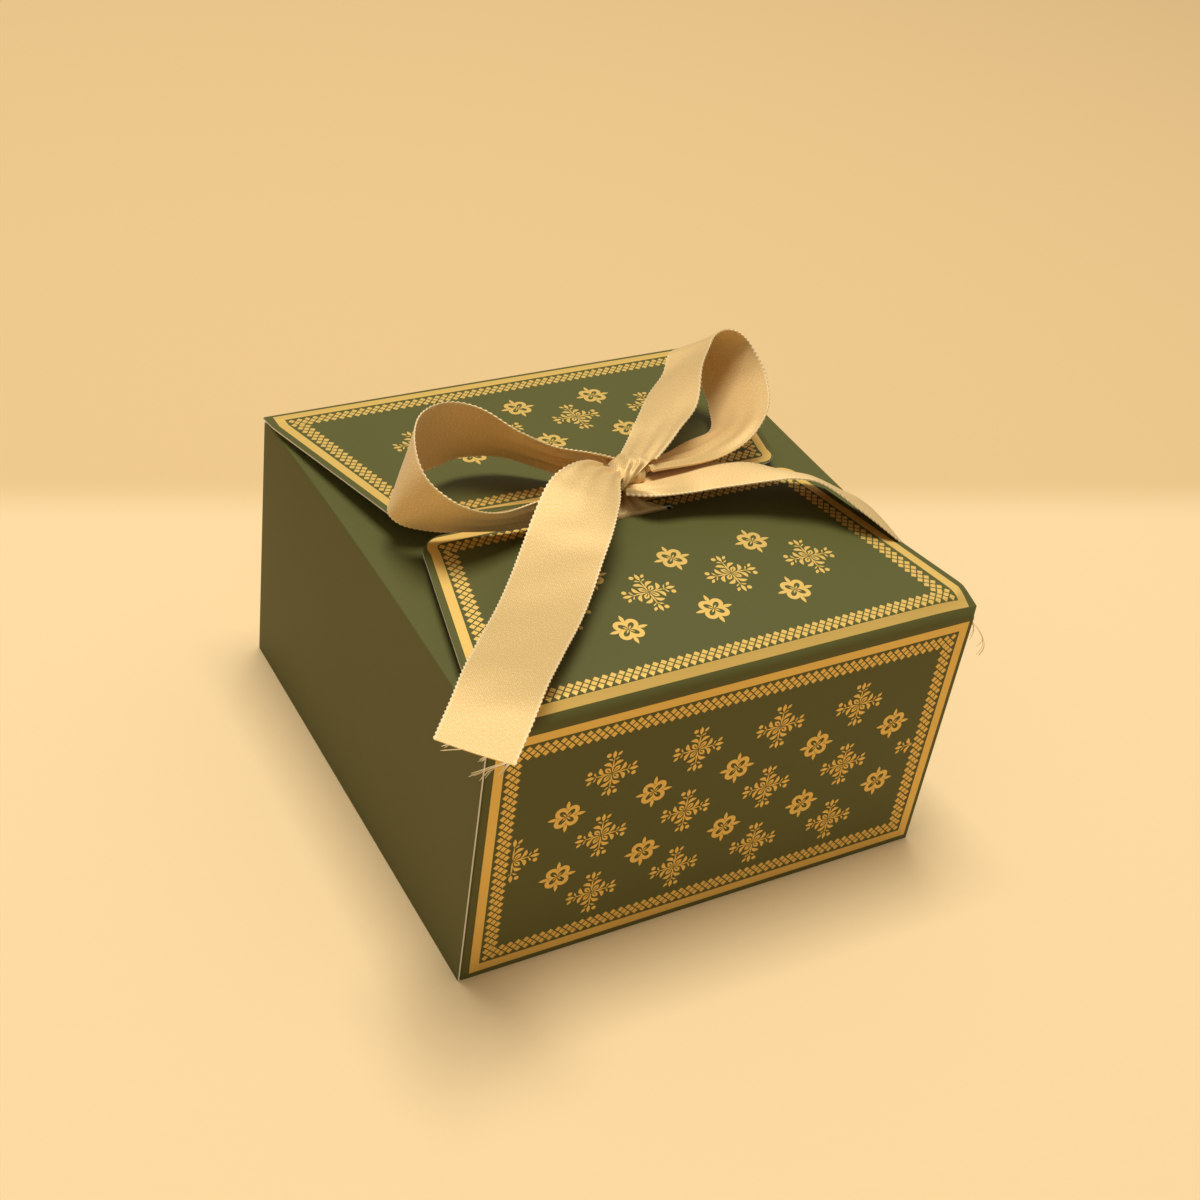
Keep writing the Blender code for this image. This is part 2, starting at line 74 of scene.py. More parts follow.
# %% Camera
ELEVATION, AZIMUTH, ROLL = np.radians([36.968, -34.014, -9.081])
CAMERA_PLACE = Vector((-280.83, -418.61, 441.72)) * MM
SENSOR_WIDTH, FOCAL_LENGTH = 36, 56.924
forward = Vector((-np.sin(AZIMUTH) * np.cos(ELEVATION), np.cos(AZIMUTH) * np.cos(ELEVATION), -np.sin(ELEVATION)))
level = forward.cross(Vector((0, 0, 1))).normalized()
upright = level.cross(forward)
right = level * np.cos(ROLL) - upright * np.sin(ROLL)
up = upright * np.cos(ROLL) + level * np.sin(ROLL)
camera = bpy.data.objects.new("camera", bpy.data.cameras.new("camera"))
camera.data.sensor_width = SENSOR_WIDTH
camera.data.lens = FOCAL_LENGTH
camera.data.clip_start = 10 * MM
camera.matrix_world = Matrix.Translation(CAMERA_PLACE) @ Matrix((right, up, -forward)).transposed().to_4x4()
scene.collection.objects.link(camera)
scene.camera = camera
print("camera looks down by", round(np.degrees(ELEVATION), 1), "degrees")

# %% [markdown]
# ## Building with grids
# Blender keeps a mesh as a list of points and a list of faces. When a shape is a function of two
# parameters, its points form a grid, and numpy works out all of them at once. The faces are then only
# a pattern of grid numbers. Card and ribbon have a thickness, so the helper below closes the space
# between a front grid and a back grid, and says which faces are front, back and cut edge.

# %% Points and faces of a closed sheet
def join(*parts):
    """Spread the parts to one shape and stack them as the last axis."""
    return np.stack(np.broadcast_arrays(*parts), axis=-1)


def unit(vectors):
    """Scale vectors along the last axis to length one."""
    return vectors / np.linalg.norm(vectors, axis=-1, keepdims=True)


def grid_quads(rows, columns, closed=False):
    """Faces of a grid as point numbers. A closed grid runs on from its last column to its first."""
    row = np.arange(rows - 1)[:, None] * columns
    column = np.arange(columns if closed else columns - 1)
    after = (column + 1) % columns
    return join(row + column, row + after, row + columns + after, row + columns + column).reshape(-1, 4)


def sheet_between(back, front, closed=False, kept=None):
    """Close the space between two grids of points. Faces turn outwards. Sides are 0 front, 1 back, 2 edge."""
    face, behind = front.reshape(-1, 3), back.reshape(-1, 3)
    count = len(face)
    quads = grid_quads(*front.shape[:2], closed)
    if kept is not None:
        quads = quads[kept.ravel()]
    normal = np.cross(face[quads[:, 2]] - face[quads[:, 0]], face[quads[:, 3]] - face[quads[:, 1]])
    if (normal * (face - behind)[quads[:, 0]]).sum() < 0:
        quads = quads[:, ::-1]
    start, end = quads.ravel(), np.roll(quads, -1, axis=1).ravel()
    rim = ~np.isin(end * count + start, start * count + end)
    start, end = start[rim], end[rim]
    edge = join(end + count, start + count, start, end)
    faces = np.concatenate([quads + count, quads[:, ::-1], edge])
    side = np.repeat([0, 1, 2], [len(quads), len(quads), len(edge)])
    return np.concatenate([behind, face]), faces, side


def add_piece(name, body, finishes, points, faces, side=None, smooth=35, uv=None):
    """Put points and faces into an object that rides on a body. Smooth is in degrees, and 0 keeps faces flat."""
    mesh = bpy.data.meshes.new(name)
    mesh.from_pydata(points, [], faces)
    for finish in finishes:
        mesh.materials.append(finish)
    if side is not None:
        mesh.polygons.foreach_set("material_index", np.minimum(side, len(finishes) - 1).astype(np.int32))
    mesh.polygons.foreach_set("use_smooth", np.full(len(mesh.polygons), smooth > 0))
    if smooth:
        mesh.set_sharp_from_angle(angle=np.radians(smooth))
    if uv is not None:
        corner = np.empty(len(mesh.loops), dtype=np.int32)
        mesh.loops.foreach_get("vertex_index", corner)
        mesh.uv_layers.new(name="cloth").data.foreach_set("uv", uv[corner].astype(np.float32).ravel())
    mesh.update()
    piece = bpy.data.objects.new(name, mesh)
    scene.collection.objects.link(piece)
    if body:
        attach(piece, body)
    print(f"{name}: {len(mesh.vertices)} points, {len(mesh.polygons)} faces")
    return piece


# %% [markdown]
# ## Finishes
# A material is a small network of nodes. One helper adds a node with its settings and what feeds it,
# so that each finish below reads as a recipe. Colours are written as they look on a screen and turned
# to linear light, which is what a renderer adds and multiplies.

# %% Colour and node helpers
def linear(colour):
    """Turn a hex colour into linear light: c / 12.92 where dark, else ((c + 0.055) / 1.055) to the power 2.4."""
    value = np.array([int(colour[i : i + 2], 16) for i in (1, 3, 5)]) / 255
    light = np.where(value <= 0.04045, value / 12.92, ((value + 0.055) / 1.055) ** 2.4)
    return (*light.tolist(), 1.0)


def add_node(tree, kind, feeds=None, **settings):
    """Add a node and return its outputs. Feeds give each input a value, or the output that feeds it."""
    made = tree.nodes.new("ShaderNode" + kind)
    for name, value in settings.items():
        setattr(made, name, value)
    for name, value in (feeds or {}).items():
        if isinstance(value, bpy.types.NodeSocket):
            tree.links.new(value, made.inputs[name])
        else:
            made.inputs[name].default_value = value
    return made.outputs


def start_finish(name, **values):
    """Start a material and set the constants on its shader's own sockets."""
    finish = bpy.data.materials.new(name)
    finish.use_nodes = True
    shader = finish.node_tree.nodes["Principled BSDF"]
    for socket, value in values.items():
        shader.inputs[socket.replace("_", " ")].default_value = value
    return finish, finish.node_tree, shader


def two_tones(tree, shader, share, first, second):
    """Feed the shader's colour with a mix of two colours by a share from 0 to 1."""
    mix = add_node(tree, "Mix", {0: share, 6: linear(first), 7: linear(second)}, data_type="RGBA")
    tree.links.new(mix[2], shader.inputs["Base Color"])


def emboss(tree, shader, height, depth, strength):
    """Feed the shader's normal with a bump of the given depth in metres."""
    bump = add_node(tree, "Bump", {"Height": height, "Distance": depth, "Strength": strength})
    tree.links.new(bump["Normal"], shader.inputs["Normal"])


# %% [markdown]
# ### Printed card
# The outside is bleached board, printed dark green and given a matt film, which leaves a soft sheen
# and a faint tooth. Real tooth is about 0.1 mm, too fine for this picture, so it is drawn at 0.4 mm.
# The inside and every cut edge show the plain white board with its fibres, as faint flecks.

# %% Printed card and plain board
def speckled(name, tones, drift, tooth=None, **values):
    """Start a finish in which a noise mixes two tones and another gives a bump.

    A noise is its scale per metre and its detail. The tooth adds a depth and a strength.
    """
    finish, tree, shader = start_finish(name, **values)
    place = add_node(tree, "TexCoord")["Object"]
    noise = add_node(tree, "TexNoise", {"Vector": place, "Scale": drift[0], "Detail": drift[1]})["Fac"]
    two_tones(tree, shader, noise, *tones)
    if tooth:
        noise = add_node(tree, "TexNoise", {"Vector": place, "Scale": tooth[0], "Detail": tooth[1]})["Fac"]
        emboss(tree, shader, noise, *tooth[2:])
    return finish


card = speckled(
    "card_matt_laminated_green", ("#595726", "#615f2d"), (11.0, 3.0), (1 / (0.4 * MM), 2.0, 0.02 * MM, 0.35),
    Roughness=0.6, Specular_IOR_Level=0.25,
)
board = speckled(
    "board_uncoated_white", ("#ded6c2", "#f1ebdc"), (700.0, 4.0), (700.0, 4.0, 0.03 * MM, 0.4),
    Roughness=0.8, Specular_IOR_Level=0.25,
)
CARD_SIDES = (card, board, board)
print("finishes:", card.name, board.name)

# %% [markdown]
# ### Stamped foil
# The gold is hot foil pressed into the card. It is metal, but laid on a matt film it scatters as much
# as it mirrors, and its tone drifts a little where the press bit harder.

# %% Stamped foil
foil = speckled(
    "foil_hot_stamped_gold", ("#e8bf62", "#f1cb70"), (1 / (40 * MM), 2.0), (1800.0, 2.0, 0.015 * MM, 0.3),
    Metallic=0.6, Roughness=0.6,
)
print("finish:", foil.name)

# %% [markdown]
# ### Woven satin
# Satin floats long warp threads over the weft, so light runs in streaks across the threads. The
# shader's anisotropy gives the streaks, along a tangent that comes from the ribbon's own UV map, which
# holds millimetres along and across it, divided by 200. Threads of 0.1 mm would vanish at this size,
# so the ribs are drawn 0.5 mm apart. The pale flecks on them are painted glints, where light catches
# the thread floats. The two woven edges are painted paler as well, as a highlight where light catches
# their beads.

# %% Woven satin
UV_SPAN = 200 * MM
RIBBON_WIDTH = 25 * MM
RIB_PITCH = 0.5 * MM
FLECK_WIDTH, FLECK_LENGTH = 0.25 * MM, 0.625 * MM
SELVAGE_START, SELVAGE_FULL = 11.7 * MM, 12.3 * MM


def woven_satin():
    """Polyester satin: warp ribs with pale flecks on them that are painted glints, and selvages painted paler as a
    highlight.
    """
    finish, tree, shader = start_finish(
        "satin_woven_champagne", Metallic=0.25, Roughness=0.6, Anisotropic=0.8, Sheen_Weight=0.15, Sheen_Roughness=0.4
    )
    cloth = add_node(tree, "UVMap", uv_map="cloth")["UV"]
    tangent = add_node(tree, "Tangent", direction_type="UV_MAP", uv_map="cloth")["Tangent"]
    tree.links.new(tangent, shader.inputs["Tangent"])
    # The wave texture has one band to each 20 / (2 * pi) of its coordinate.
    rib_scale = 2 * np.pi / 20 * UV_SPAN / RIB_PITCH
    ribs = add_node(tree, "TexWave", {"Vector": cloth, "Scale": rib_scale}, bands_direction="X")["Fac"]
    fleck_scale = (UV_SPAN / FLECK_WIDTH, UV_SPAN / FLECK_LENGTH, 1.0)
    stretched = add_node(tree, "Mapping", {"Vector": cloth, "Scale": fleck_scale})["Vector"]
    fleck = add_node(tree, "TexNoise", {"Vector": stretched, "Scale": 1.0, "Detail": 1.0})["Fac"]
    # Pale flecks along the ribs are painted glints, where light catches the thread floats.
    bright = add_node(tree, "MapRange", {"Value": fleck, "From Min": 0.42, "From Max": 0.72})["Result"]
    painted_glints = add_node(tree, "Math", {0: bright, 1: ribs}, operation="MULTIPLY")["Value"]
    across = add_node(tree, "SeparateXYZ", {"Vector": cloth})["X"]
    middle = add_node(tree, "Math", {0: across, 1: RIBBON_WIDTH / 2 / UV_SPAN}, operation="SUBTRACT")["Value"]
    side = add_node(tree, "Math", {0: middle}, operation="ABSOLUTE")["Value"]
    # The paler edges are a painted highlight, where light catches the selvage beads.
    edge = {"From Min": SELVAGE_START / UV_SPAN, "From Max": SELVAGE_FULL / UV_SPAN, "To Max": 0.35}
    painted_edge_highlight = add_node(tree, "MapRange", {"Value": side, **edge})["Result"]
    share = add_node(tree, "Math", {0: painted_glints, 1: painted_edge_highlight}, operation="ADD", use_clamp=True)["Value"]
    # The first colour is the satin's own. The second is the painted glint and highlight colour.
    two_tones(tree, shader, share, "#e6bd70", "#ffedc2")
    height = add_node(tree, "Math", {0: ribs, 1: fleck}, operation="ADD")["Value"]
    emboss(tree, shader, height, 0.03 * MM, 0.3)
    return finish


satin = woven_satin()

# Single warp threads are too fine to show a weave: pale, half glossy, lighter and darker every 3 mm or so.
thread = speckled(
    "thread_polyester_champagne", ("#d9b068", "#fbe6b4"), (350.0, 1.0), Roughness=0.5, Sheen_Weight=0.3
)
print("finishes:", satin.name, thread.name)

# %% [markdown]
# ## The walls
# Four walls are one strip of card, creased at the corners. It could be four flat boards, but then the
# corners would be sharp, and real creases are not. So one path runs round the box with a small arc at
# each crease, from the raw edge at the front left corner to the fold of the glue tab behind it. Each
# point of the path knows its outward direction, and the height makes the second parameter.

# %% Path round the walls
CREASE_RADIUS = 0.9 * MM
SEAM_GAP = 0.3 * MM
SIDE_BOW = 1.5 * MM
WALL_STEPS = 48
ARC_STEPS = 8


def wall_path():
    """Points and outward directions round the walls: straight runs, and arcs of centre + radius * (cos, sin)."""
    w, d, r = HALF_WIDTH, HALF_DEPTH, CREASE_RADIUS
    seam = -w + CARD + SEAM_GAP
    runs = (
        ((-w, -d), (-w, d - r), (-1, 0), (-w + r, d - r), 180),
        ((-w + r, d), (w - r, d), (0, 1), (w - r, d - r), 90),
        ((w, d - r), (w, -d + r), (1, 0), (w - r, -d + r), 0),
        ((w - r, -d), (seam + r, -d), (0, -1), (seam + r, -d + r), -90),
    )
    share = np.linspace(0, 1, WALL_STEPS + 1)[:, None]
    points, outward = [], []
    for start, end, normal, centre, angle in runs:
        turn = np.radians(np.linspace(angle, angle - 90, ARC_STEPS + 1))[1:]
        ray = join(np.cos(turn), np.sin(turn))
        points += [np.array(start) + (np.array(end) - start) * share, centre + r * ray]
        outward += [np.tile(np.array(normal, float), (WALL_STEPS + 1, 1)), ray]
    return np.concatenate(points), np.concatenate(outward)


def side_bow(y, height):
    """How far a side wall bends inwards: bow * (1 - (y / half depth) squared) * height share squared."""
    return SIDE_BOW * (1 - (y / HALF_DEPTH) ** 2) * height**2


# %% Walls
CREASE_START = 0.7 * MM
LID_BEND = 1.6 * MM
path, outward = wall_path()
side_share = np.abs(outward[:, 0])
wall_top = LID_BASE - LID_BEND - side_share * (LID_BASE - LID_BEND - DUST_BASE + CREASE_START)
height = np.concatenate([np.linspace(0, 0.92, 24), np.linspace(0.94, 1, 8)])[:, None]
front = np.empty((len(height), len(path), 3))
front[..., :2] = path - outward * (side_bow(path[:, 1], height) * side_share)[..., None]
front[..., 2] = wall_top * height
back = front.copy()
back[..., :2] -= outward * CARD
walls = add_piece("card_walls", "carton", CARD_SIDES, *sheet_between(back, front))
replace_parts(walls, "front_wall", "back_wall", "left_wall", "right_wall")

# %% [markdown]
# ## The lid flaps
# Each lid flap leaves the wall over a soft shoulder, tapers to a rounded inner edge and is bowed by
# the ribbon below it. Its points are given by two parameters: the distance from the crease, and the
# share of its half width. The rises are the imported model's, except that the front shoulder bends
# nearer to its crease. The cells of the ribbon's slot are left out of the grid.

# %% Shape of a lid flap
LID_LENGTH = HALF_DEPTH - 0.8 * MM
SHOULDER = 9 * MM
CORNER = 8 * MM
CORNER_INSET, CREASE_FLARE = 17 * MM, 0.9 * MM
FRONT_RAMP, FRONT_CLIMB, FRONT_CROWN = 3.9 * MM, 0.8 * MM, 1.8 * MM
BACK_RISE, BACK_TWIST, BACK_PULL = 7 * MM, 1.5 * MM, -2.8 * MM
SLOT_OFFSET, SLOT_FROM_MIDDLE = 2 * MM, 11 * MM
SLOT_HALF_LENGTH, SLOT_HALF_WIDTH = 14 * MM, 1 * MM


def flap_half_width(distance):
    """Full at the shoulder, flared at the crease, and narrowing evenly to round inner corners."""
    run = np.clip((distance - SHOULDER) / (LID_LENGTH - SHOULDER), 0, 1)
    flare = CREASE_FLARE * np.clip(1 - distance / SHOULDER, 0, 1)
    past = np.clip(distance - (LID_LENGTH - CORNER), 0, CORNER)
    return HALF_WIDTH + flare - CORNER_INSET * run - CORNER + np.sqrt(CORNER**2 - past**2)


def front_rise(distance, share):
    """A ramp, 4.6 mm long or 9 mm at the sides, then a climb, and a crown of sine * (1 - share squared)."""
    way = np.clip(distance / ((4.6 + 4.4 * share**16) * MM), 0, 1.2)
    ramp = np.where(way < 0.8, way, 1 - (1.2 - way) ** 2 / 0.8)
    run = np.clip((distance - SHOULDER) / (LID_LENGTH - SHOULDER), 0, 1)
    return FRONT_RAMP * ramp + FRONT_CLIMB * run + FRONT_CROWN * np.sin(np.pi * run) * (1 - share**2)


def back_rise(distance, share):
    """An even slope, with a twist from side to side."""
    return (BACK_RISE - BACK_TWIST * share) * distance / LID_LENGTH


# The flap's side of the box, its rise, and how far its inner edge is pulled to the right.
FRONT = (-1, front_rise, 0.0)
BACK = (1, back_rise, BACK_PULL)


def flap_points(side, rise, pull, distance, share, lift):
    """Place points given by distance from the crease and share of half width, lifted off the underside."""
    x = share * flap_half_width(distance) + pull * distance / LID_LENGTH
    return join(x, side * (HALF_DEPTH - distance), LID_BASE + rise(distance, share) + lift)


# %% Lid flaps
def lid_flap(name, node, body, side, rise, pull):
    """Make a flap's card as a closed sheet on a grid that has the slot's edges among its lines."""
    middle = HALF_DEPTH - SLOT_FROM_MIDDLE
    slot_near, slot_far = middle - SLOT_HALF_WIDTH, middle + SLOT_HALF_WIDTH
    offset = SLOT_OFFSET - pull * middle / LID_LENGTH
    low, high = (offset + np.array([-1, 1]) * SLOT_HALF_LENGTH) / flap_half_width(middle)
    share = np.concatenate([np.linspace(-1, low, 28)[:-1], np.linspace(low, high, 12)[:-1], np.linspace(high, 1, 26)])
    distance = np.concatenate([
        np.linspace(LID_BEND, 7 * MM, 24)[:-1], np.linspace(7 * MM, slot_near, 36)[:-1], [slot_near, slot_far],
        [LID_LENGTH - CORNER], LID_LENGTH - CORNER + CORNER * np.sin(np.radians(np.linspace(5, 90, 16))),
    ])
    in_slot = (share[:-1] > low - 1e-6) & (share[1:] < high + 1e-6)
    kept = np.ones((len(distance) - 1, len(share) - 1), dtype=bool)
    kept[np.ix_(np.isclose(distance[:-1], slot_near), in_slot)] = False
    under, top = (flap_points(side, rise, pull, distance[:, None], share, lift) for lift in (0, CARD))
    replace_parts(add_piece(name, body, CARD_SIDES, *sheet_between(under, top, kept=kept)), node)


lid_flap("card_lid_front", "front_lid_flap", "front_lid", *FRONT)
lid_flap("card_lid_back", "back_lid_flap", "back_lid", *BACK)

# %% [markdown]
# ## The dust flaps and the creases
# The dust flaps lie under the lid and are cut at 45 degrees at both ends. Where card crosses a hinge
# it is one bent strip, so each crease is a piece of its own, shaped between the wall and its flap. Its
# outer curve leaves the wall straight up and meets the flap on the flap's own slope.

# %% Dust flaps
DUST_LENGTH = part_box("left_dust_flap")[1].x + HALF_WIDTH
DUST_INSET, DUST_RISE = 1.5 * MM, 3 * MM


def dust_points(side, distance, share, lift):
    """Place points at x = half width - distance - bow and y = share * (half depth - inset - distance)."""
    y = share * (HALF_DEPTH - DUST_INSET - distance)
    x = side * (HALF_WIDTH - distance - side_bow(y, 1) * (1 - distance / DUST_LENGTH))
    return join(x, y, DUST_BASE + DUST_RISE * distance / DUST_LENGTH + lift)


def dust_flap(name, node, body, side):
    """Make a dust flap's card as a closed sheet."""
    distance, share = np.linspace(CREASE_START, DUST_LENGTH, 30)[:, None], np.linspace(-1, 1, 60)
    under, top = (dust_points(side, distance, share, lift) for lift in (0, CARD))
    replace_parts(add_piece(name, body, CARD_SIDES, *sheet_between(under, top)), node)


dust_flap("card_dust_left", "left_dust_flap", "left_dust", -1)
dust_flap("card_dust_right", "right_dust_flap", "right_dust", 1)


# %% Creases between the walls and the flaps
def crease(name, body, foot, top, slope):
    """Bend card by (1 - u)^2 * foot + 2 * u * (1 - u) * bend + u^2 * top, with bend over the foot."""
    u = np.linspace(0, 1, 14)[:, None, None]
    across = (top - foot) * [1, 1, 0]
    reach = np.linalg.norm(across, axis=-1, keepdims=True)
    bend = top - across - [0, 0, 1] * reach * slope
    outer = (1 - u) ** 2 * foot + 2 * u * (1 - u) * bend + u**2 * top
    heading = unit((1 - u) * (bend - foot) + u * (top - bend))
    level = (heading * across / reach).sum(axis=-1, keepdims=True)
    inner = outer + CARD * (across / reach * heading[..., 2:] - [0, 0, 1] * level)
    piece = add_piece(name, None, CARD_SIDES, *sheet_between(inner, outer))
    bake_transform(piece)


span = np.linspace(-1, 1, 61)[None, :]
for name, body, flap in (("crease_lid_front", "front_lid", FRONT), ("crease_lid_back", "back_lid", BACK)):
    side, rise = flap[:2]
    foot = join(span * (HALF_WIDTH - CREASE_RADIUS), side * HALF_DEPTH, LID_BASE - LID_BEND)
    slope = float(rise(LID_BEND, 0) - rise(0, 0)) / LID_BEND
    crease(name, body, foot, flap_points(*flap, LID_BEND, span, CARD), slope)
for name, body, side in (("crease_dust_left", "left_dust", -1), ("crease_dust_right", "right_dust", 1)):
    top = dust_points(side, CREASE_START, span, CARD)
    foot = join(side * (HALF_WIDTH - side_bow(top[..., 1], 1)), top[..., 1], DUST_BASE - CREASE_START)
    crease(name, body, foot, top, DUST_RISE / DUST_LENGTH)

# %% [markdown]
# ## The inner pieces
# The glue tab and the four base flaps are flat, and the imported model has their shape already. They
# keep their meshes and only take a finish: plain board, as the inside of the sheet shows.

# %% Finish for the inner pieces
for node in ("seam_glue_tab", "base_front_flap", "base_back_flap", "base_left_flap", "base_right_flap"):
    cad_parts[node].data.materials.clear()
    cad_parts[node].data.materials.append(board)
print("inner pieces keep their own meshes")

# %% [markdown]
# ## The gold print
# Foil is a flat pattern pressed on a curved sheet. So each motif is drawn flat, in millimetres on its
# panel, and a placing function lays those points on the wall or the flap, a hair above the card. There
# are only two kinds of shape: small closed outlines, and bands between two matching outlines.

# %% Placing functions, and the two kinds of foil shape
FOIL_LOW, FOIL_HIGH = 0.006 * MM, 0.036 * MM
OVER_BEND = 0.09 * MM


def on_wall(side):
    """Panel (x, height) to a point on the front wall, or on the back wall seen from behind."""
    return lambda flat, lift: join(-side * flat[..., 0], side * (HALF_DEPTH + lift), flat[..., 1])


def on_flap(side, rise, pull):
    """Panel (x, distance from the crease) to a point on a lid flap, higher where flat squares bridge the bend."""
    def place(flat, lift):
        x, distance = flat[..., 0], flat[..., 1]
        share = (x - pull * distance / LID_LENGTH) / flap_half_width(np.minimum(distance, LID_LENGTH - CORNER))
        bridge = OVER_BEND * np.exp(-(((distance / MM - 4.6) / 1.1) ** 2)) * (lift > FOIL_LOW)
        return join(x, side * (HALF_DEPTH - distance), LID_BASE + rise(distance, share) + CARD + lift + bridge)
    return place


def foil_outlines(outlines):
    """Closed plates from outlines of shape (how many, corners, 2). A square's top folds along its first diagonal."""
    many, corners = outlines.shape[:2]
    base = (np.arange(many) * 2 * corners)[:, None]
    low = base + np.arange(corners)
    high, after = low + corners, base + (np.arange(corners) + 1) % corners
    sides = join(low, after, after + corners, high).reshape(-1, 4)
    flat = np.stack([outlines, outlines], axis=1).reshape(-1, 2)
    layer = np.tile(np.repeat([0, 1], corners), many)
    tops = [high[:, :3], high[:, [0, 2, 3]]] if corners == 4 else [high]
    return flat, layer, [*tops, low[:, ::-1], sides]


def foil_bands(loops):
    """Closed bands across matching outlines of shape (how many, levels, corners, 2), outermost first."""
    many, levels, corners = loops.shape[:3]
    count = levels * corners
    flat = np.stack([loops, loops], axis=1).reshape(-1, 2)
    layer = np.tile(np.repeat([0, 1], count), many)
    base = (np.arange(many) * 2 * count)[:, None, None]
    low = (base + grid_quads(levels, corners, closed=True)).reshape(-1, 4)
    spot = base[:, 0] + np.arange(corners)
    after = base[:, 0] + (np.arange(corners) + 1) % corners
    outside = join(spot, after, after + count, spot + count).reshape(-1, 4)
    inside = outside[:, ::-1] + count - corners
    return flat, layer, [low + count, low[:, ::-1], outside, inside]


def stamp(name, body, place, shapes):
    """Lay foil shapes on their panel and join them into one piece."""
    points, faces, count = [], [], 0
    for flat, layer, groups in shapes:
        points.append(place(flat * MM, np.where(layer, FOIL_HIGH, FOIL_LOW)))
        faces += [face for group in groups for face in (group + count).tolist()]
        count += len(flat)
    piece = add_piece(name, body, (foil,), np.concatenate(points), faces, smooth=0)
    work = bmesh.new()
    work.from_mesh(piece.data)
    bmesh.ops.recalc_face_normals(work, faces=work.faces)
    work.to_mesh(piece.data)
    work.free()
    return piece


# %% [markdown]
# ### Leaves, flowers and sprigs
# A leaf is a pointed outline between a root and a tip. The sprig is one arm and one corner, each
# turned through four quarters. The flower is a band whose two edges wave four times round, so that it
# draws lobes and the openings in them at once.

# %% Motifs
def leaves(roots, tips, width, full=0.5, bend=0.0, blunt=1.0, corners=10):
    """Outlines: half width = width / 2 * sine^blunt, widest at full, set aside by 4 * bend * way * (1 - way)."""
    roots, tips = np.atleast_2d(roots).astype(float), np.atleast_2d(tips).astype(float)
    way = np.concatenate([np.linspace(0, 1, corners // 2 + 1), np.linspace(1, 0, corners // 2 + 1)[1:-1]])
    sign = np.where(np.arange(len(way)) <= corners // 2, 1, -1)
    sine = np.clip(np.sin(np.pi * way ** (np.log(0.5) / np.log(full))), 0, 1)
    swell = sine**blunt * width / 2 * sign + 4 * bend * way * (1 - way)
    axis = tips - roots
    normal = unit(join(-axis[:, 1], axis[:, 0]))
    return roots[:, None] + axis[:, None] * way[None, :, None] + normal[:, None] * swell[None, :, None]


def quarters(outlines, mirror=False):
    """Repeat outlines turned by 0, 90, 180 and 270 degrees, the odd turns mirrored if asked."""
    turned = []
    for turn, (cos, sin) in enumerate([(1, 0), (0, 1), (-1, 0), (0, -1)]):
        x, y = outlines[..., 0] * (-1 if mirror and turn % 2 else 1), outlines[..., 1]
        turned.append(join(x * cos - y * sin, x * sin + y * cos))
    return np.concatenate(turned)


def spread(shape, centres, limits=(-1000, 1000)):
    """Repeat outlines at each centre, drop what lies past the x limits and trim what crosses them."""
    placed = (shape[None] + centres[:, None, None]).reshape(-1, *shape.shape[1:])
    middle = placed[..., 0].mean(axis=1)
    placed = placed[(middle > limits[0]) & (middle < limits[1])]
    placed[..., 0] = np.clip(placed[..., 0], *limits)
    return placed


def sprig_shapes(centres, *limits):
    """A sprig, cut off at the x limits: on each arm a stem, leaves and a bud, and in each quarter a hollow leaf."""
    turn = np.linspace(0, 2 * np.pi, 10, endpoint=False)
    bud = (np.array([-2.0, 7.55]) + 0.8 * join(np.cos(turn), np.sin(turn)))[None]
    arm = quarters(np.concatenate([
        leaves((0, 0.3), (0, 6.4), 0.55, 0.35), leaves((0, 5.7), (-0.1, 9.0), 1.3),
        leaves((1.0, 6.7), (2.45, 8.2), 1.05), leaves((0.1, 5.1), (1.8, 6.1), 0.5, 0.6),
        leaves((-0.1, 4.8), (-2.0, 6.0), 0.6, 0.65, -0.25), bud,
    ]), mirror=True)
    curved = [leaves((s * 0.25, 2.1), (s * 3.3, 4.25), 1.35, 0.66, s * 0.75, 0.8, 14) for s in (1, -1)]
    hollow = quarters(leaves((0.15, 0.15), (2.5, 2.5), 1.75, 0.62, corners=12))
    opening = quarters(leaves((0.5, 0.5), (2.0, 2.0), 0.42, corners=12))
    plates = [foil_outlines(spread(shape, centres, *limits)) for shape in (arm, quarters(np.concatenate(curved)))]
    return [*plates, foil_bands(np.stack([spread(shape, centres, *limits) for shape in (hollow, opening)], axis=1))]


def flower_shapes(centres):
    """A flower: edges at 2.9 + 2 * wave^0.9 and 0.35 + 3.05 * wave^1.3, with leaves between and veins inside."""
    turn = np.linspace(0, 2 * np.pi, 64, endpoint=False)
    wave = np.abs(np.sin(2 * turn))
    ray = join(np.cos(turn), np.sin(turn))
    reaches = (2.9 + 2.0 * wave**0.9, 0.35 + 3.05 * wave**1.3)
    edges = [spread((ray * reach[:, None])[None], centres) for reach in reaches]
    pointed = quarters(leaves((0, 2.5), (0, 6.4), 1.3))
    veins = quarters(leaves((0, 0), (1.4, 1.4), 0.5, 0.55))
    return [foil_bands(np.stack(edges, axis=1)), foil_outlines(spread(np.concatenate([pointed, veins]), centres))]


# %% [markdown]
# ### Frame and lattice
# Round each panel runs a solid gold line 3.1 mm wide. Inside it is a lattice of small squares stood on
# their corners, in three staggered rows 1.45 mm apart. A square is repeated about two thousand times,
# so it has only four corners.

# %% Frame and lattice
LINE_WIDTH = 3.1
LATTICE_INSET = 4.85
ROW_STEP = 1.45
PITCH = 2.77
SQUARE_REACH = 1.11


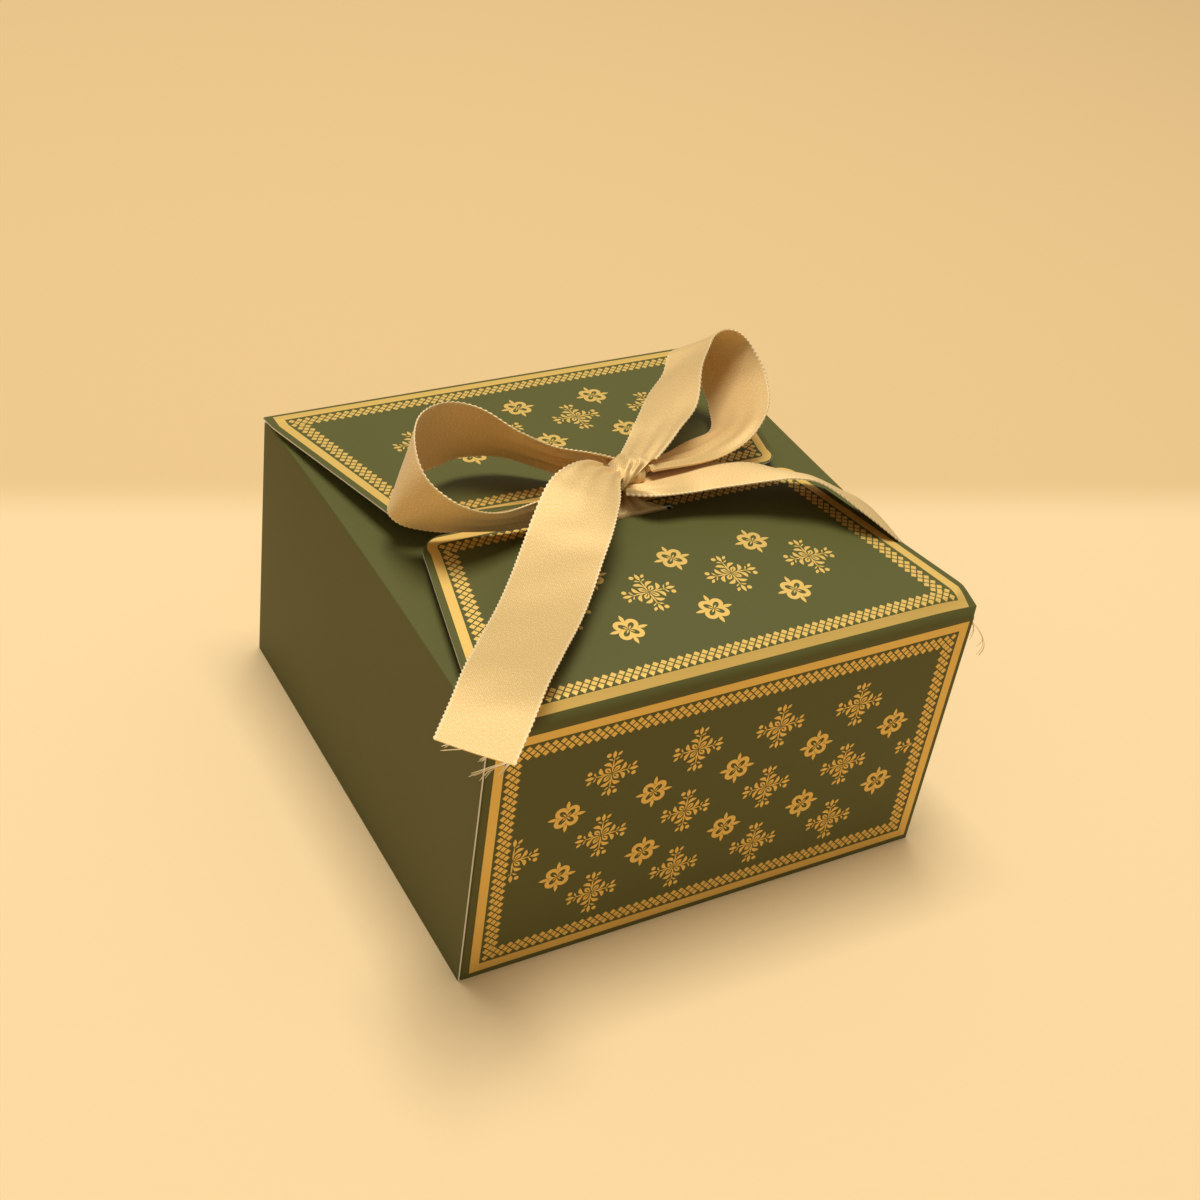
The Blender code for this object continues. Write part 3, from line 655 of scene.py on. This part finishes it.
def lattice(start, end, trim):
    """Squares at along = (k + row / 2) * pitch and inwards = row * row step, inwards to the left of the way."""
    start, end = np.array(start, float), np.array(end, float)
    length = np.linalg.norm(end - start)
    along = (end - start) / length
    inwards = np.array([-along[1], along[0]])
    pitch = length / round(length / PITCH)
    row = np.arange(3)[:, None]
    way = (np.arange(round(length / pitch) + 1)[None, :] + (row % 2) / 2) * pitch
    kept = (way > trim - 0.01) & (way < length - trim + 0.01)
    centre = (start + along * way[..., None] + inwards * (row * ROW_STEP)[..., None])[kept]
    return centre[:, None] + SQUARE_REACH * np.stack([along, inwards, -along, -inwards])


def lattice_round(corners):
    """Lattice along the four sides of a panel. The upright sides start where the level ones end."""
    runs = zip(corners, corners[1:] + corners[:1], (0, 2.5 * ROW_STEP, 0, 2.5 * ROW_STEP))
    return np.concatenate([lattice(*run) for run in runs])


def loop_of_sides(corners, steps=6):
    """A closed outline with a few points on each side."""
    share = np.linspace(0, 1, steps, endpoint=False)[:, None]
    corners = np.array(corners, float)
    return np.concatenate([a + (b - a) * share for a, b in zip(corners, np.roll(corners, -1, axis=0))])


def wall_print():
    """Frame, lattice and motifs of a wall, in mm: x across and height up, on a 29.5 by 24.7 mm repeat."""
    left, low, far, top = -81.5, 2.0, 83.0, 95.0

    def box(inset):
        """The frame's corners, moved inwards."""
        x, z = (left + inset, far - inset), (low + inset, top - inset)
        return [(x[0], z[0]), (x[1], z[0]), (x[1], z[1]), (x[0], z[1])]

    line = np.stack([loop_of_sides(box(inset)) for inset in (0, LINE_WIDTH)])[None]
    across = -42 + 29.5 * np.arange(4)
    sprigs = np.array([(x, z) for z in (71.6, 22.1) for x in across] + [(x, 46.4) for x in (-71.5, *across, 76.0)])
    flowers = np.array([(-55.2 + 29.5 * k, z) for z in (58.7, 33.8) for k in range(5)])
    margin = LATTICE_INSET + 4.2
    limits = (left + margin, far - margin)
    motifs = [*sprig_shapes(sprigs, limits), *flower_shapes(flowers)]
    return [foil_bands(line), foil_outlines(lattice_round(box(LATTICE_INSET))), *motifs]


walls_print = wall_print()
stamp("foil_wall_front", "carton", on_wall(-1), walls_print)
stamp("foil_wall_back", "carton", on_wall(1), walls_print)


# %% Print on the lid flaps
FRAME_INSET = 2.3
INNER_SHIFT = 1.4
STRAIGHT_END = (LID_LENGTH - CORNER) / MM + INNER_SHIFT


def flap_loop(inset, near):
    """A closed outline: inset from the flap's sides, less by the shift at its inner edge, near from its crease."""
    straight = np.concatenate([np.linspace(near, 11, 24)[:-1], np.linspace(11, STRAIGHT_END, 40)])
    edge = flap_half_width(np.clip(straight * MM, SHOULDER, LID_LENGTH - CORNER)) / MM - inset
    turn = np.radians(np.linspace(0, 90, 14))[1:]
    radius = max(CORNER / MM - inset, 0.4)
    drop = CORNER / MM - inset - radius
    corner_x = (flap_half_width(LID_LENGTH - CORNER) - CORNER) / MM
    curve = join(corner_x + drop + radius * np.cos(turn), STRAIGHT_END + drop + radius * np.sin(turn))
    half = np.concatenate([join(edge, straight), curve])
    inner = np.linspace(1, -1, 50)[1:-1, None] * [half[-1, 0], 0] + [0, half[-1, 1]]
    crease_side = np.linspace(-1, 1, 60)[1:-1, None] * [half[0, 0], 0] + [0, near]
    return np.concatenate([half, inner, half[::-1] * [-1, 1], crease_side])


def flap_print(pull, sprigs, flowers, near, width, first_row):
    """Frame, lattice and motifs of a lid flap, in mm: x across and distance from the crease, clear of the slot."""
    inset = FRAME_INSET + LATTICE_INSET
    far = LID_LENGTH / MM - inset + INNER_SHIFT
    near_x, far_x = (flap_half_width(np.array([SHOULDER, LID_LENGTH - CORNER])) / MM - inset).tolist()
    squares = lattice_round([(-near_x, first_row), (near_x, first_row), (far_x, far), (-far_x, far)])
    from_slot = np.abs(squares.mean(axis=1) - np.array([SLOT_OFFSET, HALF_DEPTH - SLOT_FROM_MIDDLE]) / MM)
    squares = squares[(from_slot[:, 0] > 15) | (from_slot[:, 1] > 1.9)]
    ways = np.linspace(0, 1, 9)
    line = np.stack([flap_loop(FRAME_INSET + LINE_WIDTH * way, near + width * way) for way in ways])[None]
    for outline in (line, squares):
        outline[..., 0] += pull * outline[..., 1] / LID_LENGTH
    motifs = [*sprig_shapes(np.array(sprigs)), *flower_shapes(np.array(flowers))]
    return [foil_bands(line), foil_outlines(squares), *motifs]


front_sprigs = [(x, 36.5) for x in (-43.4, -14.1, 15.2, 44.2)]
front_flowers = [(x + shift, y) for y, shift in ((23.65, 0.5), (48.85, 0.3)) for x in (-28.6, 0.8, 30.2)]
back_sprigs = [(x, 35.5) for x in (-45.3, -15.9, 13.5, 42.9)]
back_flowers = [(x, y) for y in (23.5, 48.5) for x in (-32.2, -2.8, 26.4)]
stamp("foil_lid_front", "front_lid", on_flap(*FRONT), flap_print(0.0, front_sprigs, front_flowers, 1.75, 2.25, 5.2))
stamp("foil_lid_back", "back_lid", on_flap(*BACK), flap_print(BACK_PULL, back_sprigs, back_flowers, 2.3, 3.1, 7.15))

# %% [markdown]
# ## The ribbon
# A ribbon is a strip of fixed width carried along a path. Each row of these tables is a station: where
# the middle of the ribbon is, which way its width points, and how far it is spread. A smooth curve
# runs through the stations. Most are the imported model's own, so the bow hangs where its solids are.

# %% Stations of the loops and tails
BOW_BASE = LID_BASE + BACK_RISE + CARD
KNOT_CLEARANCE = 1.2 * MM
KNOT_RADII = np.array([8.0, 7.0, 5.8]) * MM
KNOT_CENTRE = np.array([0.047 * HALF_WIDTH, -0.012 * HALF_DEPTH, BOW_BASE + KNOT_CLEARANCE + KNOT_RADII[2]])
LEFT_LOOP_ENDS = ((-1.0, 0.75, 0.15, 0.2, 0.1, 1.0, 0.36), (-1.0, -0.45, -0.25, 0.0, 0.0, 1.0, 0.36))
LEFT_LOOP = (
    (-0.19, 0.11, 0.4, -0.1, -0.45, 0.9, 0.62), (-0.35, 0.18, 0.57, -0.1, -0.62, 0.8, 0.92),
    (-0.49, 0.24, 0.71, 0.0, -0.38, 0.93, 1.0), (-0.61, 0.25, 0.75, 0.0, -0.1, 1.0, 1.0),
    (-0.72, 0.21, 0.75, 0.0, -0.08, 1.0, 1.0), (-0.81, 0.13, 0.71, 0.1, -0.22, 0.97, 1.0),
    (-0.86, 0.02, 0.65, 0.18, -0.38, 0.91, 1.0), (-0.84, -0.06, 0.55, 0.12, -0.5, 0.86, 1.0),
    (-0.75, -0.12, 0.43, 0.05, -0.62, 0.78, 0.95), (-0.59, -0.13, 0.27, 0.05, -0.62, 0.78, 0.72),
    (-0.41, -0.12, 0.225, 0.1, -0.35, 0.92, 0.52), (-0.24, -0.08, 0.21, 0.0, -0.25, 1.0, 0.42),
)
RIGHT_LOOP_ENDS = ((0.75, 0.6, 0.3, 0.5, -0.6, 0.4, 0.58), (1.0, 0.0, 0.15, 0.1, -0.8, 0.5, 0.36))
RIGHT_LOOP = (
    (0.22, 0.12, 0.44, 0.4, -0.68, 0.55, 0.86), (0.32, 0.2, 0.58, 0.45, -0.68, 0.58, 0.97),
    (0.43, 0.33, 0.76, 0.33, -0.6, 0.73, 1.0), (0.52, 0.41, 0.86, 0.24, -0.61, 0.75, 1.0),
    (0.58, 0.47, 0.94, 0.22, -0.7, 0.68, 1.0), (0.64, 0.49, 0.95, 0.23, -0.71, 0.67, 1.0),
    (0.69, 0.47, 0.85, 0.28, -0.62, 0.73, 1.0), (0.72, 0.41, 0.65, 0.39, -0.5, 0.77, 1.0),
    (0.71, 0.29, 0.47, 0.45, -0.51, 0.73, 1.0), (0.62, 0.14, 0.33, 0.45, -0.66, 0.6, 0.9),
    (0.4, 0.05, 0.25, 0.6, -0.8, 0.12, 0.6),
)
FRONT_TAIL = (
    (-0.044, -0.035, 0.44, -0.6, 0.75, 0.12, 0.36),
    (-0.15, -0.12, 0.7, -0.6, 0.75, 0.14, 0.56), (-0.25, -0.2, 0.68, -0.68, 0.73, 0.04, 0.88),
    (-0.36, -0.32, 0.52, -0.69, 0.7, -0.11, 1.0), (-0.45, -0.42, 0.38, -0.71, 0.69, -0.14, 1.0),
    (-0.61, -0.6, 0.23, -0.7, 0.7, -0.11, 1.0), (-0.78, -0.77, 0.19, -0.69, 0.7, -0.16, 1.0),
    (-0.88, -0.87, 0.17, -0.67, 0.72, -0.18, 1.0), (-0.98, -0.98, 0.1, -0.64, 0.75, -0.18, 1.0),
    (-1.1, -1.1, -0.08, -0.55, 0.82, -0.15, 1.0),
)
RIGHT_TAIL = (
    (0.0, -0.071, 0.2, 0.25, 0.93, -0.25, 0.22), (0.1, -0.088, 0.228, 0.25, 0.93, -0.25, 0.72),
    (0.25, -0.08, 0.2, 0.25, 0.93, -0.25, 0.95), (0.35, -0.1, 0.23, 0.28, 0.92, -0.28, 1.0),
    (0.46, -0.13, 0.26, 0.31, 0.89, -0.32, 1.0), (0.56, -0.17, 0.29, 0.36, 0.86, -0.37, 1.0),
    (0.64, -0.22, 0.29, 0.47, 0.74, -0.48, 1.0), (0.72, -0.26, 0.26, 0.49, 0.71, -0.5, 1.0),
    (0.79, -0.32, 0.175, 0.51, 0.7, -0.5, 0.97), (0.86, -0.385, 0.06, 0.5, 0.78, -0.4, 1.0),
    (0.935, -0.44, -0.14, 0.47, 0.8, -0.38, 1.0), (0.998, -0.505, -0.44, 0.3, 0.8, -0.52, 1.0),
    (1.033, -0.6, -0.7, 0.06, 0.7, -0.71, 1.0), (1.039, -0.715, -0.85, 0.0, 0.64, -0.77, 1.0),
    (1.039, -0.825, -0.97, 0.0, 0.6, -0.8, 1.0),
)


# %% Curves through the stations
def knot_exit(shares):
    """A station inside the knot's turn: its centre + 0.75 * direction * radii, then the lean and the spread."""
    return [*(KNOT_CENTRE + 0.75 * unit(np.array(shares[:3])) * KNOT_RADII), *shares[3:]]


def stations(shares, first=None, last=None):
    """Shares of half width, half depth and ribbon width above the lid to metres, with the knot's ends added."""
    rows = np.array(shares)
    rows[:, :3] = rows[:, :3] * [HALF_WIDTH, HALF_DEPTH, RIBBON_WIDTH] + [0, 0, BOW_BASE]
    ends = [[knot_exit(end)] if end else np.empty((0, 7)) for end in (first, last)]
    return np.vstack([ends[0], rows, ends[1]])


def smooth_rows(rows, steps):
    """A cubic through the rows: each stretch keeps the slope (after - before) / 2 at both its ends."""
    count = len(rows)
    place = np.linspace(0, count - 1, steps + 1)
    index = np.minimum(place.astype(int), count - 2)
    u = (place - index)[:, None]
    before, start, end, after = (rows[np.clip(index + k, 0, count - 1)] for k in (-1, 0, 1, 2))
    square = 2 * before - 5 * start + 4 * end - after
    cube = 3 * start - before - 3 * end + after
    return start + ((end - before) * u + square * u**2 + cube * u**3) / 2


# %% [markdown]
# Plain satin strips look like sheet metal. Four things make them cloth: the width cups slightly, the
# strip gathers into pleats where the knot squeezes it, faint waves run along it, and the woven edges
# carry small beads 1.6 mm apart. Where the ribbon is spread less, the pleats are deeper, because the
# same width of cloth has to go somewhere.

# %% A length of ribbon
RIBBON_THICKNESS = 0.4 * MM
STEP_LENGTH = 0.2 * MM
BEAD_PITCH, BEAD_REACH = 1.6 * MM, 0.3 * MM
PLEATS, PLEAT_DEPTH = 3, 1.5 * MM


def ribbon_grids(rows, phase, cup):
    """Back and front grids, UVs and length: middle + lean * reach * share + face * (cup + pleat + wave)."""
    rough = smooth_rows(rows, 400)[:, :3]
    length = np.linalg.norm(np.diff(rough, axis=0), axis=1).sum()
    path = smooth_rows(rows, int(length / STEP_LENGTH))
    lean = unit(path[:, 3:6])
    face = unit(np.cross(np.gradient(path[:, :3], axis=0), lean))
    along = np.concatenate([[0], np.cumsum(np.linalg.norm(np.diff(path[:, :3], axis=0), axis=1))])[:, None]
    share = np.concatenate([[-1, -0.98, -0.96], np.linspace(-0.93, 0.93, 25), [0.96, 0.98, 1]])[None, :]
    spread_share = path[:, 6:7]
    gather = np.clip(1 - spread_share, 0, 1)
    bead = np.clip((np.abs(share) - 0.95) / 0.05, 0, 1) * (0.5 + 0.5 * np.cos(2 * np.pi * along / BEAD_PITCH))
    reach = share * spread_share * RIBBON_WIDTH / 2 + np.sign(share) * bead * BEAD_REACH
    pleat = PLEAT_DEPTH * gather * np.cos(np.pi * PLEATS * share + phase)
    wave = 0.12 * MM * np.sin(along / (7 * MM) + 1.7 * share + phase)
    wave = wave + 0.07 * MM * np.sin(along / (3.1 * MM) - 2.9 * share + 2 * phase)
    offset = cup * MM * (1 - share**2) * spread_share + pleat + wave * np.clip(spread_share, 0, 1)
    middle = path[:, None, :3] + lean[:, None] * reach[..., None] + face[:, None] * offset[..., None]
    half = RIBBON_THICKNESS / 2 * (1 - 0.3 * (np.abs(share) > 0.99) + 0.5 * bead)
    step = face[:, None] * half[..., None]
    uv = join((share + 1) * RIBBON_WIDTH / 2 / UV_SPAN, along / UV_SPAN).reshape(-1, 2)
    return middle - step, middle + step, np.concatenate([uv, uv]), length


def ribbon(name, node, body, rows, phase=0.4, cup=0.5):
    back, front, uv, length = ribbon_grids(rows, phase, cup)
    piece = add_piece(name, body, (satin,), *sheet_between(back, front), smooth=60, uv=uv)
    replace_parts(piece, node)
    print(f"{name}: {length / MM:.1f} mm of ribbon")


# %% [markdown]
# ### Frayed ends
# Where the ribbon was cut, a few warp threads have come loose. Each row of the table is a strand: where
# on the cut edge it starts, how far it reaches and how it bends in millimetres, and its fibres.

# %% Loose threads
FRONT_STRANDS = (
    (0.25, -5.3, 2.5, -1.2, 0.3, 0.2, -0.2, 3), (-0.78, -10.4, 3.0, -4.4, 0.2, -0.6, 0.8, 5),
    (-0.77, -7.6, 0.6, -5.0, -0.3, 0.3, 0.5, 4), (-0.86, -2.7, -0.8, -2.9, 0.0, 0.0, 0.2, 6),
    (0.62, -1.6, 0.6, -1.0, 0.0, 0.0, 0.0, 4), (-0.30, -1.4, 0.2, -1.2, 0.0, 0.0, 0.0, 4),
)
RIGHT_STRANDS = ((-0.98, 1.5, -9.5, -10.9, 1.7, -3.6, 0.2, 4), (-0.94, 0.9, -5.5, -7.5, 1.2, -1.5, 0.4, 2))


def threads(name, node, end, strands, seed):
    """Tubes of 0.13 mm radius: edge + reach * way + bend * sin(pi * way) + stray * way^1.5."""
    steps, sides = 18, 6
    table = np.array(strands)
    fibre = np.repeat(table, table[:, 7].astype(int), axis=0)
    many = len(fibre)
    random = np.random.default_rng(seed)
    way = np.linspace(0, 1, steps)[None, :, None]
    share = np.clip(fibre[:, :1] + random.uniform(-0.03, 0.03, (many, 1)), -0.99, 0.99)
    start = end[:3] + unit(end[3:6]) * share * end[6] * RIBBON_WIDTH / 2
    reach = fibre[:, 1:4] * MM * random.uniform(0.75, 1, (many, 1))
    bend = fibre[:, 4:7] * MM
    stray = random.normal(0, 0.35 * MM, (many, 3))
    centre = start[:, None] + reach[:, None] * way + bend[:, None] * np.sin(np.pi * way) + stray[:, None] * way**1.5
    turn = np.linspace(0, 2 * np.pi, sides, endpoint=False)[:, None]
    heading = unit(np.gradient(centre, axis=1))
    first = unit(np.cross(heading, [0.3, 0.9, 0.1]))
    second = np.cross(heading, first)
    radius = 0.13 * MM * (1 - 0.5 * way)[..., None]
    ring = first[:, :, None] * np.cos(turn) + second[:, :, None] * np.sin(turn)
    points = (centre[:, :, None] + radius * ring).reshape(-1, 3)
    base = (np.arange(many) * steps * sides)[:, None]
    quads = (base[..., None] + grid_quads(steps, sides, closed=True)).reshape(-1, 4)
    caps = base + np.arange(sides)
    faces = quads.tolist() + caps[:, ::-1].tolist() + (caps + (steps - 1) * sides).tolist()
    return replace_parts(add_piece(name, "front_lid", (thread,), points, faces, smooth=60), node)


front_threads = threads("threads_front_tail", "front_tail_threads", stations(FRONT_TAIL)[-1], FRONT_STRANDS, 7)
right_threads = threads("threads_right_tail", "right_tail_threads", stations(RIGHT_TAIL)[-1], RIGHT_STRANDS, 12)

# %% Loops, tails and straps
left_rows, right_rows = stations(LEFT_LOOP, *LEFT_LOOP_ENDS), stations(RIGHT_LOOP, *RIGHT_LOOP_ENDS)
ribbon("ribbon_loop_left", "bow_loop_left", "front_lid", left_rows, cup=0.4)
ribbon("ribbon_loop_right", "bow_loop_right", "front_lid", right_rows, phase=1.1)
ribbon(
    "ribbon_end_front", "ribbon_tail_front", "front_lid", stations(FRONT_TAIL),
    phase=2.0, cup=0.3,
)
ribbon(
    "ribbon_end_right", "ribbon_tail_right", "front_lid", stations(RIGHT_TAIL),
    phase=0.9, cup=1.1,
)

STRAP_LIFT, STRAP_DROP = 2.2 * MM, 3 * MM
STRAP = (
    (0.30, 1.10, 0.00, 0.16), (0.58, 1.05, 0.00, 0.42), (0.80, 0.50, 0.00, 0.74), (0.91, 0.10, 0.00, 0.95),
    (0.93, 0.00, 0.45, 1.00), (0.77, 0.00, 0.85, 1.00), (0.41, 0.00, 1.00, 1.00), (0.08, 0.00, 1.00, 1.00),
)


def strap_rows(side, rise, pull):
    """Stations from under the knot, down through the slot and under the flap. Rows: way out, lift, drop, spread."""
    out, lift, drop, spread_share = np.array(STRAP).T
    height = LID_BASE + rise(HALF_DEPTH - SLOT_FROM_MIDDLE, 0) + lift * STRAP_LIFT - drop * STRAP_DROP
    return join(SLOT_OFFSET, side * out * SLOT_FROM_MIDDLE, height, 1, 0, 0, spread_share)


for name, node, body, flap, under in (
    ("ribbon_through_front", "ribbon_strap_front", "front_lid", FRONT, "card_lid_front"),
    ("ribbon_through_back", "ribbon_strap_back", "back_lid", BACK, "card_lid_back"),
):
    ribbon(name, node, body, strap_rows(*flap), cup=0.1)

# %% [markdown]
# ### The knot
# The knot is gathered ribbon held by one turn of the same ribbon. The gathered part is a pinched
# ball whose ridges run round it. The turn is a band wrapped over it, wide on top and drawn together to
# a point at the front. Its table gives the angle of the turn, the slant and the half width in mm.

# %% Knot
def knot_core():
    """An ellipsoid about X with ridges: radius * (1 + 0.07 * cos(9 * polar + 1.5 * sin(turn)))."""
    rings, segments = 60, 96
    polar = np.linspace(0, np.pi, rings + 1)[1:-1, None]
    turn = np.linspace(0, 2 * np.pi, segments, endpoint=False)[None, :]
    thick = np.sin(polar)
    ridge = 1 + 0.07 * np.cos(9 * polar + 1.5 * np.sin(turn)) * thick + 0.03 * np.cos(4 * turn + 6 * polar) * thick
    radii = KNOT_RADII * 0.72
    body = radii * join(np.cos(polar), ridge * thick * np.cos(turn), ridge * thick * np.sin(turn))
    ends = KNOT_CENTRE + np.array([[1], [-1]]) * [radii[0], 0, 0]
    points = np.vstack([(KNOT_CENTRE + body).reshape(-1, 3), ends])
    quads = np.roll(grid_quads(rings - 1, segments, closed=True)[:, ::-1], 1, axis=1)
    side, after = np.arange(segments), (np.arange(segments) + 1) % segments
    last, top = (rings - 2) * segments, len(points) - 2
    caps = np.concatenate([join(top, side, after), join(top + 1, last + after, last + side)])
    uv = join(polar * 4 * MM / UV_SPAN, turn * 6 * MM / UV_SPAN).reshape(-1, 2)
    return points, quads.tolist() + caps.tolist(), np.concatenate([uv, [[0, 0], [0.06, 0]]])


WRAP = (
    (0, 0.0, 6.0), (90, 0.0, 7.0), (135, -3.7, 5.4), (180, -6.8, 2.1),
    (210, -6.7, 0.9), (270, -4.0, 1.5), (330, -1.0, 4.0), (360, 0.0, 6.0),
)


def knot_wrap():
    """A band round X: centre + (half width * share + slant, radii * (cos, sin)), pleated and crumpled."""
    angle, slant, half = smooth_rows(np.array(WRAP), 200)[:-1].T[:, None, :]
    turn = np.radians(angle)
    share = np.linspace(-1, 1, 40)[:, None]
    wide = np.clip(half / 7, 0, 1)
    pleat = 0.42 * wide * np.cos(3.2 * np.pi * share + 1.6 * np.sin(turn))
    pleat = pleat + 0.22 * wide * np.sin(5 * turn + 4 * share) * np.cos(2 * share)
    grids = []
    for lift in (-0.3, 0.1):
        radius = KNOT_RADII[1:, None, None] + (lift + pleat - 2.0 * wide * share**2) * MM
        around = join((half * share + slant) * MM, radius[0] * np.cos(turn), radius[1] * np.sin(turn))
        grids.append(KNOT_CENTRE + around)
    uv = join((share + 1) * 5 * MM / UV_SPAN, turn * 6.5 * MM / UV_SPAN).reshape(-1, 2)
    return *grids, np.concatenate([uv, uv])


points, faces, uv = knot_core()
knot = add_piece("ribbon_knot_core", "front_lid", (satin,), points, faces, smooth=60, uv=uv)
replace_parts(knot, "ribbon_knot")
back, front, uv = knot_wrap()
turned = sheet_between(back, front, closed=True)
wrap = add_piece("ribbon_knot_turn", "front_lid", (satin,), *turned, smooth=60, uv=uv)

# %% [markdown]
# ## Floor and light
# The box stands on a sheet of warm paper. Behind it the paper turns up and gets less light, so it
# looks darker. Here that is painted shade, a darker colour on one flat floor, so that the box can be
# seen from every side. One large lamp hangs overhead, and the world adds the soft warm light that the
# paper throws back.

# %% Floor
FLOOR_SIZE = 4.0
FLOOR_DROP = 0.1 * MM
TURN_X, TURN_Y = 0.31, 0.951
TURN_START, TURN_END = 0.130, 0.164


def paper_finish():
    """Seamless paper: pale beige, with painted shade behind the box where the paper turns up, over a soft change of
    34 mm.
    """
    finish, tree, shader = start_finish("paper_seamless_beige", Roughness=0.9, Specular_IOR_Level=0.1)
    place = add_node(tree, "TexCoord")["Object"]
    apart = add_node(tree, "SeparateXYZ", {"Vector": place})
    depth = add_node(tree, "Math", {0: apart["X"], 1: TURN_X}, operation="MULTIPLY")["Value"]
    line = add_node(tree, "Math", {0: apart["Y"], 1: TURN_Y, 2: depth}, operation="MULTIPLY_ADD")["Value"]
    turn = {"Value": line, "From Min": TURN_START, "From Max": TURN_END}
    share = add_node(tree, "MapRange", turn, interpolation_type="SMOOTHSTEP")["Result"]
    # The second colour is painted shade: the paper that turns up behind the box gets less light there.
    two_tones(tree, shader, share, "#fbdba4", "#eac78d")
    return finish


corners = FLOOR_SIZE * np.array([(-1, -1, 0), (1, -1, 0), (1, 1, 0), (-1, 1, 0)]) - [0, 0, FLOOR_DROP]
floor = add_piece("floor", None, (paper_finish(),), corners, [[0, 1, 2, 3]], smooth=0)

# %% Light
LAMP_PLACE = Vector((0.0, 0.25, 2.2))
LAMP_AIM = Vector((0, 0, 0.05))
LAMP_SIZE, LAMP_POWER = 0.9, 38.5
WORLD_STRENGTH = 0.3
world = bpy.data.worlds.new("soft_room")
scene.world = world
world.use_nodes = True
background = world.node_tree.nodes["Background"]
background.inputs["Color"].default_value = linear("#fff8ee")
background.inputs["Strength"].default_value = WORLD_STRENGTH
lamp = bpy.data.objects.new("overhead_lamp", bpy.data.lights.new("overhead_lamp", "AREA"))
lamp.data.shape = "SQUARE"
lamp.data.size = LAMP_SIZE
lamp.data.energy = LAMP_POWER
lamp.location = LAMP_PLACE
lamp.rotation_euler = (LAMP_PLACE - LAMP_AIM).to_track_quat("Z", "Y").to_euler()
scene.collection.objects.link(lamp)
print("lamp power in watts:", LAMP_POWER)

# %% View settings
scene.view_settings.view_transform = "Standard"
print("view transform:", scene.view_settings.view_transform)
